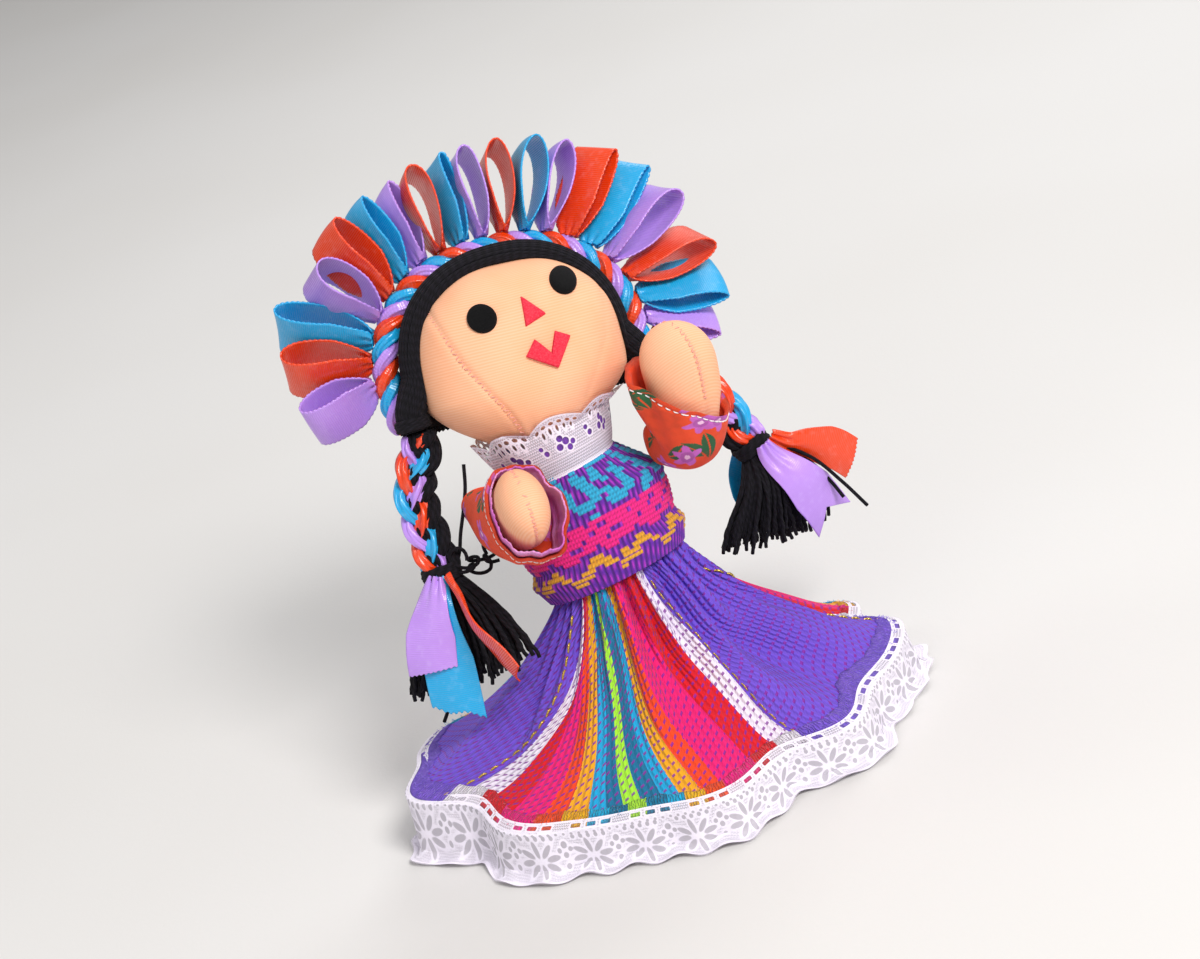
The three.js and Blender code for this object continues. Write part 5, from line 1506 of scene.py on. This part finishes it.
class CrownOperator(bpy.types.Operator):
    """Makes the crown of three twisted ribbons and the loops pulled out of it."""
    bl_idname = "rag_doll.crown"
    bl_label = "Ribbon crown"
    bl_options = {"REGISTER", "UNDO"}

    def execute(self, context):
        hair_here = (1 - (CROWN_BACK / HAIR_HALF[1]) ** HEAD_FULL) ** (1 / HEAD_FULL)
        half = [HAIR_HALF[i] * hair_here + SEAT_GAP + CROWN_STRAND + CROWN_LAY for i in (0, 2)]
        x, z = round_head(np.radians(np.linspace(200, -20, 61)), half)
        self.arch = xyz(x, CROWN_BACK, z)
        for index, name in enumerate(COLOURS_IN_TURN):
            self.strand(index, name)
            self.loops(index, name)
        return {"FINISHED"}

    def strand(self, index, name):
        """A ribbon folded into a fat strand that winds round the crown's line; its pleats run askew."""
        steps = 420
        line = curve(self.arch, steps)
        side, other = sideways(line, (0, 1, 0))
        t = np.linspace(0, 1, steps)
        phase = FULL_TURN * (CROWN_LUMPS * t + index / 3)
        path = line + CROWN_LAY * (np.cos(phase)[:, None] * side + np.sin(phase)[:, None] * other)
        ends = np.sqrt(np.clip(np.minimum(t, 1 - t) / 0.012, 0.05, 1))
        a, b = sideways(path, (0, 1, 0))
        angle = full_circle(37)[None, :]
        pleats = 0.1 * np.cos(6 * angle + 40 * t[:, None]) + 0.05 * np.cos(11 * angle - 23 * t[:, None])
        swell = 1 + 0.07 * np.sin(FULL_TURN * CROWN_LUMPS * 2 * t + index)
        fat = (1.1 * ends * swell)[:, None] * (1 + pleats)
        ring = (1.1 * fat * np.cos(angle))[..., None] * a[:, None]
        ring = ring + (fat * np.sin(angle))[..., None] * b[:, None]
        body = path[:, None] + ring
        far = np.linspace(0, 90, steps)[:, None]
        part = shell(HEAD.out(body), np.linspace(0, 7, 37), far)
        piece(f"crown_ribbon_{name}", part, ribbon_satin(name), "head", [f"crown_{name}"])

    def loops(self, index, name):
        which = range(index, len(LOOPS), 3)
        part = joined([self.loop(number) for number in which])
        nodes = [f"ribbon_loop_{number + 1:02d}" for number in which]
        piece(f"ribbon_loops_{name}", part, ribbon_satin(name), "head", nodes,
              RIBBON_THICK * 0.8)

    def loop(self, number):
        """Out along its line, round and back: the reach is half of 1 - cos, and the belly opens sideways.
        Its edges carry picots; at its root the ribbon is pleated."""
        reach, direction, turn, opening, back = LOOPS[number]
        place = mix(0.11, 0.975, number / (len(LOOPS) - 1))
        direction, turn, back = np.radians([direction, turn, back])
        outwards = np.array([np.cos(direction), 0, np.sin(direction)])
        line = outwards * np.cos(back) + np.array([0, np.sin(back), 0])
        across = unit(np.array([0, 1.0, 0]) - line * line[1])
        lateral = np.cross(line, across)
        across, lateral = (np.cos(turn) * across - np.sin(turn) * -np.cross(line, across),
                           np.cos(turn) * lateral - np.sin(turn) * across)
        crown = curve(self.arch, 801)
        _, normal = sideways(crown, (0, 1, 0))
        at = int(round(place * 800))
        normal = normal[at] * np.sign(normal[at] @ outwards)
        root = crown[at] + normal * (CROWN_LAY + CROWN_STRAND + SEAT_GAP)
        steps = 190
        t = np.linspace(0, 1, steps)
        out = reach * (1 - np.cos(FULL_TURN * t)) / 2
        beside = 0.45 * np.cos(np.pi * t) + opening * np.sin(FULL_TURN * t) * np.sin(np.pi * t)
        path = root + out[:, None] * line + beside[:, None] * lateral
        ahead = along(path)
        side = unit(across - ahead * (ahead @ across)[:, None])
        face = np.cross(ahead, side)
        wide = mix(RIBBON_PINCH, RIBBON_WIDTH, np.minimum(1, 1.6 * np.sin(np.pi * t)) ** 1.25) / 2
        far = travelled(path)
        s = np.concatenate([[-1.0], np.linspace(-0.95, 0.95, 11), [1.0]])
        picot = 0.22 * np.abs(np.sin(np.pi * far / sizes().picot))
        edge = np.where(np.abs(s) == 1, np.sign(s), 0)[None, :] * picot[:, None]
        pinch = bump(np.minimum(t, 1 - t), 0, 0.09)[:, None]
        pleats = 0.5 * pinch * np.cos(3 * np.pi * s)[None, :] + 0.12 * (1 - pinch) * (1 - s**2)[None, :]
        sway = 0.3 * np.sin(4 * np.pi * t + number)[:, None] * s[None, :] ** 2
        grid = path[:, None] + side[:, None] * (wide[:, None] * s + edge)[..., None]
        grid = grid + face[:, None] * (pleats + sway)[..., None]
        return shell(HEAD.out(grid), (s * RIBBON_WIDTH / 2)[None, :], far[:, None])


class BraidOperator(bpy.types.Operator):
    """Makes the braids of yarn and ribbon, their ties, tassels and ribbon tails."""
    bl_idname = "rag_doll.braids"
    bl_label = "Braids"
    bl_options = {"REGISTER", "UNDO"}

    def execute(self, context):
        for side, name in SIDES:
            self.braid(side, name)
        return {"FINISHED"}

    def braid(self, side, name):
        row = BRAIDS[name]
        root = HEAD.out(tie_place(side)) + np.array([0, 0, -SEAT_GAP])
        finish = root + row["end"]
        middle = mix(root, finish, 0.5) + row["bow"]
        below = root + np.array([side * 0.4, 0, -3])
        points = np.stack([root, below, middle, finish])
        steps = 130
        down = along(curve(points, 200))[-1]
        line = curve(np.vstack([points, finish + 2.6 * down]), steps)
        back, sideway = sideways(line, (0, 1, 0))
        outer = sideway * np.sign((sideway[:, 0] * side).mean())
        t = np.linspace(0, 1, steps)
        body = f"braid_{name}"
        self.strands(name, line, back, sideway, outer, t, body)
        reach = travelled(line)[-1] - 2.6
        slope = FULL_TURN * BRAID_TURNS * np.hypot(BRAID_SWAY, 2 * BRAID_DEPTH) / reach
        cap = BRAID_STRAND * np.sin(np.arctan(slope))
        tie_top = finish + down * (cap + SEAT_GAP)
        self.tie(name, tie_top, down, body)
        top = tie_top + down * (BRAID_TIE[1] + SEAT_GAP)
        self.tassel(side, name, top, down, row, body)
        self.strays(name, top, body)
        self.tails(name, top, row, body)

    def strands(self, name, line, back, sideway, outer, t, body):
        """The plait: each strand sways to the sides once while it goes twice to the front and back. The
        ribbons lie on the outer side of the yarns."""
        yarn_lines = []
        for k in range(3):
            phase = FULL_TURN * (BRAID_TURNS * t + k / 3)
            path = line + sideway * (BRAID_SWAY * np.sin(phase))[:, None]
            path = path + back * (BRAID_DEPTH * np.sin(2 * phase))[:, None]
            colour_name = ("cyan", "orange", "purple")[k]
            ribbon_path = path + outer * 0.85 * np.minimum(1, t / 0.15)[:, None]
            ends = np.sqrt(np.clip(np.minimum(t, 1 - t) / 0.03, 0.05, 1))
            fat = 1.5 * ends * (0.62 + 0.38 * np.minimum(1, t / 0.2))
            section = round_section(ribbon_path, (0, 1, 0), (fat * 1.3, fat * 0.8), 32, 0.04, 6)
            ring = full_circle(section.shape[1])
            place = np.concatenate([t[:1], t, t[-1:]])[:, None]
            crease = 0.13 * np.sin(5 * ring + 14 * place + 2 * k) + 0.06 * np.sin(9 * ring - 30 * place)
            section = section + (section - section.mean(1, keepdims=True)) * crease[..., None]
            rows, columns = section.shape[:2]
            part = shell(section, np.linspace(0, 24, rows)[:, None], np.linspace(0, 6, columns))
            piece(f"braid_ribbon_{colour_name}_{name}", part, ribbon_satin(colour_name), body)
            inner = path - outer * 0.8
            for turn in np.arange(7) / 7 * FULL_TURN:
                wind = (turn + 5 * t)[:, None]
                yarn_lines.append(inner + 1.1 * (np.cos(wind) * back + np.sin(wind) * sideway))
            yarn_lines.append(inner)
        part = yarns(np.stack(yarn_lines), 0.5, (0, 1, 0), 8)
        piece(f"braid_yarn_{name}", part, hair_yarn(), body, [f"braid_{name}"])

    def tie(self, name, top, down, body):
        radius, height = BRAID_TIE
        wound = winding(radius + 0.1, height, 5.2, 0.34)
        side = unit(np.cross(down, (0, 1, 0)))
        other = np.cross(down, side)
        lines = []
        for size, turn in ((1.0, 0.0), (0.72, 1.0)):
            placed = wound * [size, size, 1]
            x, y = (placed[:, 0] * np.cos(turn) - placed[:, 1] * np.sin(turn),
                    placed[:, 0] * np.sin(turn) + placed[:, 1] * np.cos(turn))
            lines.append(top + x[:, None] * side + y[:, None] * other + placed[:, 2:] * down)
        part = yarns(np.stack(lines), 0.42, down, 8)
        piece(f"braid_tie_yarn_{name}", part, hair_yarn(), body, [f"braid_tie_{name}"])

    def tassel(self, side, name, top, down, row, body):
        """Yarns that leave the tie side by side and fan out, furthest towards the skirt; each ends at its
        own length."""
        rng = np.random.default_rng(5 if name == "right" else 6)
        count, steps = 240, 20
        fan = unit(np.array(row["fan"], float))
        forwards = np.cross(fan, (0, 0, 1))
        centre = curve(np.stack([top - down * 1.5, top + down * 5, top + np.array(row["tassel"])]), steps)
        angle, far = rng.uniform(0, FULL_TURN, count), np.sqrt(rng.uniform(0.02, 1, count))
        a, b = far * np.cos(angle), far * np.sin(angle)
        inwards = np.clip(-side * a, 0, 1)
        t = np.linspace(0, 1, steps)
        spread = np.sin(np.minimum(1, t * 1.2) * np.pi / 2)
        wide, deep = mix(1.8, TASSEL_HALF[0] - 0.6, spread), mix(1.8, TASSEL_HALF[1] - 0.5, spread)
        reach = INNER_SPREAD[name] * inwards[:, None] ** 1.5 * t**1.3
        sway = rng.uniform(-0.5, 0.5, (count, 2))
        ripple = 0.16 * np.sin(t * 34 + rng.uniform(0, 6, (count, 1)))
        across = a[:, None] * wide - side * reach
        across = across + sway[:, :1] * np.sin(5 * t + 9 * sway[:, 1:]) + ripple * t
        out = b[:, None] * deep + sway[:, 1:] * np.sin(4 * t + 9 * sway[:, :1]) + 0.22 * reach
        lines = centre[None] + fan * across[..., None] + forwards * out[..., None]
        lines[..., 2] += 0.45 * reach
        ends = rng.uniform(0.86, 1.04, count)[:, None]
        lines = top + (lines - top) * (1 + (ends - 1)[..., None] * t[None, :, None])
        part = yarns(lines, sizes().tassel_yarn / 2, (0.9, 0.3, 0.2), 6)
        piece(f"tassel_yarn_{name}", part, hair_yarn(), body, [f"tassel_{name}"])

    def strays(self, name, top, body):
        """Single yarns that come loose from the tie; two of the right braid's curl."""
        lines = [curve(top + np.array(points, float), 60) for points in STRAYS[name]]
        if name == "right":
            turn = np.linspace(0, 5 * np.pi, 60)
            for size, lift, askew in ((1.7, 3.0, 0.0), (1.15, 1.4, 2.0)):
                wide = size * (1 + 0.35 * np.sin(0.7 * turn + askew))
                tall = size * (0.8 + 0.4 * np.sin(0.45 * turn + 1 + askew))
                curl = np.stack([3.2 + 0.4 * turn + wide * np.cos(turn + askew),
                                 -1.2 + 0.8 * np.sin(0.8 * turn + askew),
                                 lift + 0.5 * np.sin(0.6 * turn) + tall * np.sin(turn + askew)], -1)
                lines.append(top + curl)
        part = yarns(np.stack(lines), sizes().tassel_yarn * 0.46, (0.5, 0.7, 0.5), 7)
        piece(f"stray_yarn_{name}", part, hair_yarn(), body)

    def tails(self, name, top, row, body):
        fan = np.array(row["fan"], float)
        forwards = np.cross(fan, (0, 0, 1))
        tassel = np.array(row["tassel"], float)
        for colour_name, width, places, lies, cut in TAILS[name]:
            (a, b, c) = places[0]
            places = ((0.5 * a, 0.75 * b, c + 2.6), *places)
            points = np.array([top + tassel * c / tassel[2] + fan * a + forwards * b for a, b, c in places])
            line = curve(points, 90)
            across = fan if lies is None else np.array(lies, float)
            part = self.tail(line, across, width, cut)
            piece(f"tail_ribbon_{colour_name}_{name}", part, ribbon_satin(colour_name), body,
                  [f"tail_{colour_name}_{name}"], RIBBON_THICK * 0.8)

    def tail(self, line, across, width, cut):
        """A flat ribbon, pinched at its tie; its end is cut at a slant, in a notch or left ragged."""
        side, face = sideways(line, across)
        t = np.linspace(0, 1, len(line))
        s = np.linspace(-1, 1, 37)
        shortened = {
            "slant": 0.1 * (s + 1) / 2 + 0.008 * np.sin(31 * s),
            "notch": 0.2 * (1 - np.abs(s)),
            "ragged": 0.05 * (1 - s) + 0.012 * np.sin(5 * s) + 0.009 * np.sin(29 * s + 1),
        }[cut]
        place = t[:, None] * (1 - shortened)[None, :]
        at = place * (len(line) - 1)
        low = np.minimum(at.astype(int), len(line) - 2)
        share = (at - low)[..., None]
        centre, sides, faces = (mix(x[low], x[low + 1], share) for x in (line, side, face))
        wide = (width / 2 * mix(0.3, 1.0, np.minimum(1, place * 1.7) ** 0.8))[..., None]
        pleats = 0.3 * np.cos(9 * s)[None, :] * bump(place, 0, 0.22)
        cup = (0.35 * np.cos(2.2 * s)[None, :] + pleats + 0.5 * np.sin(6 * place) * s)[..., None]
        grid = centre + sides * wide * s[None, :, None] + faces * cup
        return shell(grid, (s * width / 2)[None, :], place * travelled(line)[-1])


class ArmOperator(bpy.types.Operator):
    """Makes the stuffed arms with egg-shaped hands and the printed sleeves."""
    bl_idname = "rag_doll.arms"
    bl_label = "Arms and sleeves"
    bl_options = {"REGISTER", "UNDO"}

    def execute(self, context):
        for name in ("right", "left"):
            self.arm(name)
            self.sleeve(name)
        return {"FINISHED"}

    def half(self, t):
        """Half sizes along the arm: it swells to the hand, whose end is round, and starts round."""
        swell = np.sin(np.minimum(1, t * 1.15) * np.pi / 2)
        tip = np.sqrt(np.maximum(0.002, 1 - np.maximum(0, (t - 0.74) / 0.26) ** 2.4))
        start = np.sqrt(np.minimum(1, 0.2 + t / 0.08))
        under = 1 - 0.2 * (1 - np.clip((t - 0.3) / 0.3, 0, 1))
        return [mix(ARM_SHOULDER[i], ARM_HAND[i], swell) * tip * start * under for i in (0, 1)]

    def arm(self, name):
        t = 1 - (1 - np.linspace(0, 1, 120)) ** 1.6
        pick = np.round(t * ARM_STEPS).astype(int)
        fine = curve(ARMS[name], ARM_STEPS + 1)
        line = fine[pick]
        side, other = sideways(fine, ARM_ACROSS[name])
        a, b = self.half(t)
        angle = full_circle(97)
        turned_by = angle - np.radians(HAND_SEAM_AT[name])
        away = np.abs(np.mod(turned_by + np.pi / 2, np.pi) - np.pi / 2)
        groove = 1 - 0.05 * bump(away, 0, 0.09)
        ring = (a[:, None] * np.cos(angle) * groove)[..., None] * side[pick][:, None]
        ring = ring + (b[:, None] * np.sin(angle) * groove)[..., None] * other[pick][:, None]
        body = line[:, None] + ring
        body = np.concatenate([np.repeat(line[:1, None], 97, 1), body, np.repeat(line[-1:, None], 97, 1)])
        part = shell(TORSO.out(body), body[..., 0], body[..., 2] + 0.5 * body[..., 1])
        arm = piece(f"arm_cotton_{name}", part, skin_cotton(), f"arm_{name}", [f"arm_{name}"])
        self.seam(name, fine, side, other)

    def seam(self, name, fine, side, other):
        """Stitches along the seam that crosses the hand, on both of its faces, up to the tip."""
        seam = np.linspace(0.6, 0.995, int(17 / (0.42 * sizes().stitch)))
        at = np.round(seam * ARM_STEPS).astype(int)
        a, b = self.half(seam)
        turn = np.radians(HAND_SEAM_AT[name])
        parts = []
        for way in (1, -1):
            out = (a * np.cos(turn))[:, None] * side[at] + (b * np.sin(turn))[:, None] * other[at]
            on = fine[at] + way * 0.96 * out
            ahead = along(on)
            across = unit(np.cross(along(fine)[at], out))
            lift = np.cross(ahead, across)
            lift = lift * np.sign((lift * out).sum(-1, keepdims=True)) * way
            parts.append(stitches(on, ahead, across, lift))
        part = joined(parts)
        part["points"] = TORSO.out(part["points"])
        piece(f"hand_stitches_{name}", part, stitch_thread(), f"arm_{name}")

    def sleeve(self, name):
        """A loose tube round the arm with folds along it, turned in at the cuff. It lies close to the hand
        at one side, and the left one's cuff slants."""
        rows, columns = 120, 260
        fine = curve(ARMS[name], ARM_STEPS + 1)
        angle = full_circle(columns + 1)
        share = np.concatenate([np.linspace(0, 1, rows), np.linspace(1, 0.45, 16)[1:]])
        cloth = np.concatenate([np.full(rows, 0.8), np.full(15, 0.15)])
        grid, t = self.around(name, fine, angle, share, cloth[:, None])
        u, v = angle / FULL_TURN * SLEEVE_ROUND, t * 42
        paint = self.print_on(name, u[None, :], v)
        down = share * SLEEVE_REACH + 9 * (cloth < 0.5)
        part = shell(TORSO.out(grid), u, down[:, None], paint=paint)
        sleeve = piece(f"sleeve_cloth_{name}", part, material("Printed cotton", printed), f"arm_{name}",
                       [f"sleeve_{name}"])
        if name == "right":
            self.lining(name, fine, angle)
        self.shoulder(name, fine, angle)
        self.top_stitching(name, fine, angle)

    def shoulder(self, name, fine, angle):
        """The sleeve's gathered end, which closes it where it is sewn to the shoulder."""
        closing = np.array([0.02, 0.55, 0.85, 0.97, 1.0])
        share = np.array([-0.1, -0.095, -0.08, -0.05, 0.02])
        grid, _ = self.around(name, fine, angle, share, np.full((5, 1), 0.8))
        centre = grid.mean(1, keepdims=True)
        pushed = np.array([0.5, 0.5, 0.5, 0.4, 0])[:, None, None] * along(fine)[0]
        grid = centre + (grid - centre) * closing[:, None, None] - pushed
        paint = np.array(hues().print_ground)
        part = shell(TORSO.out(grid), angle / FULL_TURN * SLEEVE_ROUND, share[:, None] * SLEEVE_REACH,
                     paint=paint)
        piece(f"sleeve_shoulder_{name}", part, material("Printed cotton", printed), f"arm_{name}",
              thickness=0.25)

    def around(self, name, fine, angle, share, cloth):
        """Places round the arm: shares of the way to the cuff, and how far from the sleeve's inside."""
        slant = CUFF_SLANT[name]
        cuff = CUFF_AT[name] - slant * (1 + np.cos(angle - np.radians(CUFF_SLANT_AT[name]))) / 2
        t = mix(0.06, cuff[None, :], share[:, None])
        pick = np.clip(np.round(t * ARM_STEPS).astype(int), 0, ARM_STEPS)
        side, other = sideways(fine, ARM_ACROSS[name])
        a, b = self.half(t)
        opened = np.clip((t - 0.1) / 0.6, 0, 1)
        loose = 1 + CUFF_UNEVEN[name] * np.cos(angle - np.radians(CUFF_WIDE_AT[name]))
        room = 0.5 + CUFF_ROOM[name] * loose * np.minimum(1, t / 0.6) ** 2
        fold = (0.5 * np.cos(5 * angle + 1 + 2 * np.sin(angle)) + 0.25 * np.cos(11 * angle - 1)) * opened
        fold = fold * np.minimum(1, loose) + 0.3 * np.sin(3 * angle + 9 * t) * (1 - opened)
        hem = 0.2 * bump(share[:, None], 0.93, 0.02)
        grow = room + cloth + fold * 0.8 - hem
        ring = ((a + grow) * np.cos(angle))[..., None] * side[pick]
        ring = ring + ((b + grow) * np.sin(angle))[..., None] * other[pick]
        return fine[pick] + ring, t

    def lining(self, name, fine, angle):
        """The frayed edge of the lining, which shows inside the cuff."""
        share = np.concatenate([np.linspace(0.8, 1, 9), [1.02, 1.04]])
        fray = 0.25 * np.sin(17 * angle) + 0.18 * np.sin(41 * angle + 1)
        grid, _ = self.around(name, fine, angle, share, np.full((len(share), 1), -0.1))
        ahead = along(fine)[int(0.7 * ARM_STEPS)]
        grid = grid + ahead * (np.linspace(0, 1, len(share))[:, None] ** 3 * (0.5 + fray))[..., None]
        v = share[:, None] * 20
        paint = self.lining_dye(angle[None, :] + 0 * v, v)
        part = shell(TORSO.out(grid), angle / FULL_TURN * SLEEVE_ROUND, v, paint=paint)
        piece(f"sleeve_lining_{name}", part, material("Printed cotton", printed), f"arm_{name}",
              thickness=0.25)

    def lining_dye(self, angle, v):
        pink = np.array(hues().flower)
        pale = np.array(srgb("F2B8E0"))
        share = 0.5 + 0.5 * np.sin(3 * angle + 1.5 * np.sin(v))
        return mix(pink, pale, share[..., None] * 0.6)

    def print_on(self, name, u, v):
        """Leaves and flowers scattered over the ground: a leaf is a pointed oval with a rib, a flower has
        five petals round a light middle."""
        rng = np.random.default_rng(21 if name == "right" else 27)
        dye = np.broadcast_to(np.array(hues().print_ground), (*np.broadcast(u, v).shape, 3)).copy()
        leaf, flower = np.array(hues().leaf), np.array(hues().flower)
        for number in range(24):
            x, y, turn = rng.uniform(0, SLEEVE_ROUND), rng.uniform(2, 30), rng.uniform(0, FULL_TURN)
            across = np.mod(u - x + SLEEVE_ROUND / 2, SLEEVE_ROUND) - SLEEVE_ROUND / 2
            down = v - y
            p = across * np.cos(turn) + down * np.sin(turn)
            q = -across * np.sin(turn) + down * np.cos(turn)
            if number % 3 == 2:
                away = np.hypot(p, q)
                petal = away < 1.9 + 0.6 * np.cos(5 * np.arctan2(q, p))
                tone = mix(flower, flower * 0.55, (away < 1.1)[..., None] * 0.6)
                dye = np.where(petal[..., None], tone, dye)
                dye = np.where((away < 0.45)[..., None], np.array(srgb("F4C9E8")), dye)
            else:
                inside = np.abs(q) < 1.15 * np.sqrt(np.maximum(0, 1 - (p / 2.6) ** 2)) ** 1.6
                rib = np.abs(q) < 0.12
                dye = np.where((inside & ~rib)[..., None], leaf, dye)
        return dye

    def top_stitching(self, name, fine, angle):
        loop, _ = self.around(name, fine, angle, np.array([0.93]), np.full((1, 1), 0.8))
        loop = loop[0]
        centres = loop[2::6]
        ahead = along(loop)[2::6]
        middle = fine[int(0.62 * ARM_STEPS)]
        t = np.linspace(-1, 1, 5)
        bow = (0.14 - 0.12 * t**2)[None, :, None] * unit(centres - middle)[:, None]
        lines = TORSO.out(centres[:, None] + ahead[:, None] * (0.42 * t)[None, :, None] + bow)
        # The second colour is the painted highlight on the plies' crests.
        white = material("White thread", yarn, srgb("F4ECEC"), srgb("FFFFFF"), 0.6)
        piece(f"cuff_stitches_{name}", yarns(lines, 0.12, (0.3, 0.5, 0.8), 5), white, f"arm_{name}")


class LegOperator(bpy.types.Operator):
    """Makes the stuffed legs and the felt shoes inside the skirt."""
    bl_idname = "rag_doll.legs"
    bl_label = "Legs and shoes"
    bl_options = {"REGISTER", "UNDO"}

    def execute(self, context):
        for side, name in SIDES:
            self.leg(side, name)
        return {"FINISHED"}

    def leg(self, side, name):
        below = TORSO_PROFILE[0, 0] - SEAT_GAP - LEG_RADIUS
        hip = TORSO.out(np.array([side * HIPS_APART / 2, 0, below]))
        ankle = SOLE_CLEAR + SHOE_HEIGHT + SEAT_GAP
        angle = full_circle(65)
        top = np.radians(np.linspace(0, 90, 14))
        ball = [(LEG_RADIUS * np.sin(a), hip[2] + LEG_RADIUS * np.cos(a)) for a in top]
        shin = [(mix(LEG_RADIUS, ANKLE_RADIUS, s**0.8), mix(hip[2], ankle, s))
                for s in np.linspace(0, 1, 20)[1:]]
        profile = np.array(ball + shin + [(0.0, ankle)])
        seam = 1 - 0.06 * bump(angle, np.pi / 2, 0.12)
        x = hip[0] + profile[:, :1] * np.cos(angle) * seam
        y = hip[1] + profile[:, :1] * np.sin(angle) * seam
        grid = xyz(x, y, profile[:, 1:])
        leg = piece(f"leg_cotton_{name}", shell(grid, angle * 4, np.linspace(0, 22, len(grid))[:, None]),
                    skin_cotton(), f"leg_{name}", [f"leg_{name}"])
        self.shoe(hip, angle, name)

    def shoe(self, hip, angle, name):
        """Level rings: a sole that stands out a little, then an upper that narrows to the ankle."""
        rows = ((0, 0.0), (0.84, 0.0), (0.97, 0.03), (1.03, 0.1), (1.03, 0.18), (0.97, 0.22), (1.0, 0.27),
                (1.0, 0.4), (0.96, 0.55), (0.86, 0.72), (0.73, 0.86), (0.64, 0.95), (0.6, 1.0), (0, 1.0))
        sole = hip[1] + ANKLE_RADIUS + 0.6 - SHOE_HALF[1]
        grid = np.stack([np.stack([
            hip[0] + SHOE_HALF[0] * share * np.cos(angle),
            mix(hip[1], sole, min(1.0, share)) + SHOE_HALF[1] * share * np.sin(angle),
            SOLE_CLEAR + up * SHOE_HEIGHT + 0 * angle], -1) for share, up in rows])
        black = material("Shoe felt", felt, tuple(hues().shoe), 0.01)
        piece(f"shoe_felt_{name}", shell(grid), black, f"leg_{name}", [f"shoe_{name}"])


class RagDollPanel(bpy.types.Panel):
    """Lists the doll's pieces and what can be changed."""
    bl_idname = "VIEW3D_PT_rag_doll"
    bl_label = "Rag doll"
    bl_space_type = "VIEW_3D"
    bl_region_type = "UI"
    bl_category = "Rag doll"

    def draw(self, context):
        for operator in OPERATORS:
            self.layout.operator(operator.bl_idname)
        for group in (context.scene.rag_doll_colours, context.scene.rag_doll_stripes,
                      context.scene.rag_doll_sizes):
            box = self.layout.box()
            for name in group.__annotations__:
                box.prop(group, name)


GROUPS = {
    "rag_doll_colours": RagDollColours,
    "rag_doll_stripes": RagDollStripes,
    "rag_doll_sizes": RagDollSizes,
}
OPERATORS = (StageOperator, SkirtOperator, LaceOperator, BodyOperator, HeadOperator, HairOperator,
             CrownOperator, BraidOperator, ArmOperator, LegOperator)


def register():
    for made in (*GROUPS.values(), *OPERATORS, RagDollPanel):
        bpy.utils.register_class(made)
    for name, group in GROUPS.items():
        setattr(bpy.types.Scene, name, bpy.props.PointerProperty(type=group))


def unregister():
    for name in GROUPS:
        delattr(bpy.types.Scene, name)
    for made in (RagDollPanel, *reversed(OPERATORS), *GROUPS.values()):
        bpy.utils.unregister_class(made)


def main():
    register()
    for operator in OPERATORS:
        group, name = operator.bl_idname.split(".")
        getattr(getattr(bpy.ops, group), name)()


if __name__ == "__main__":
    main()
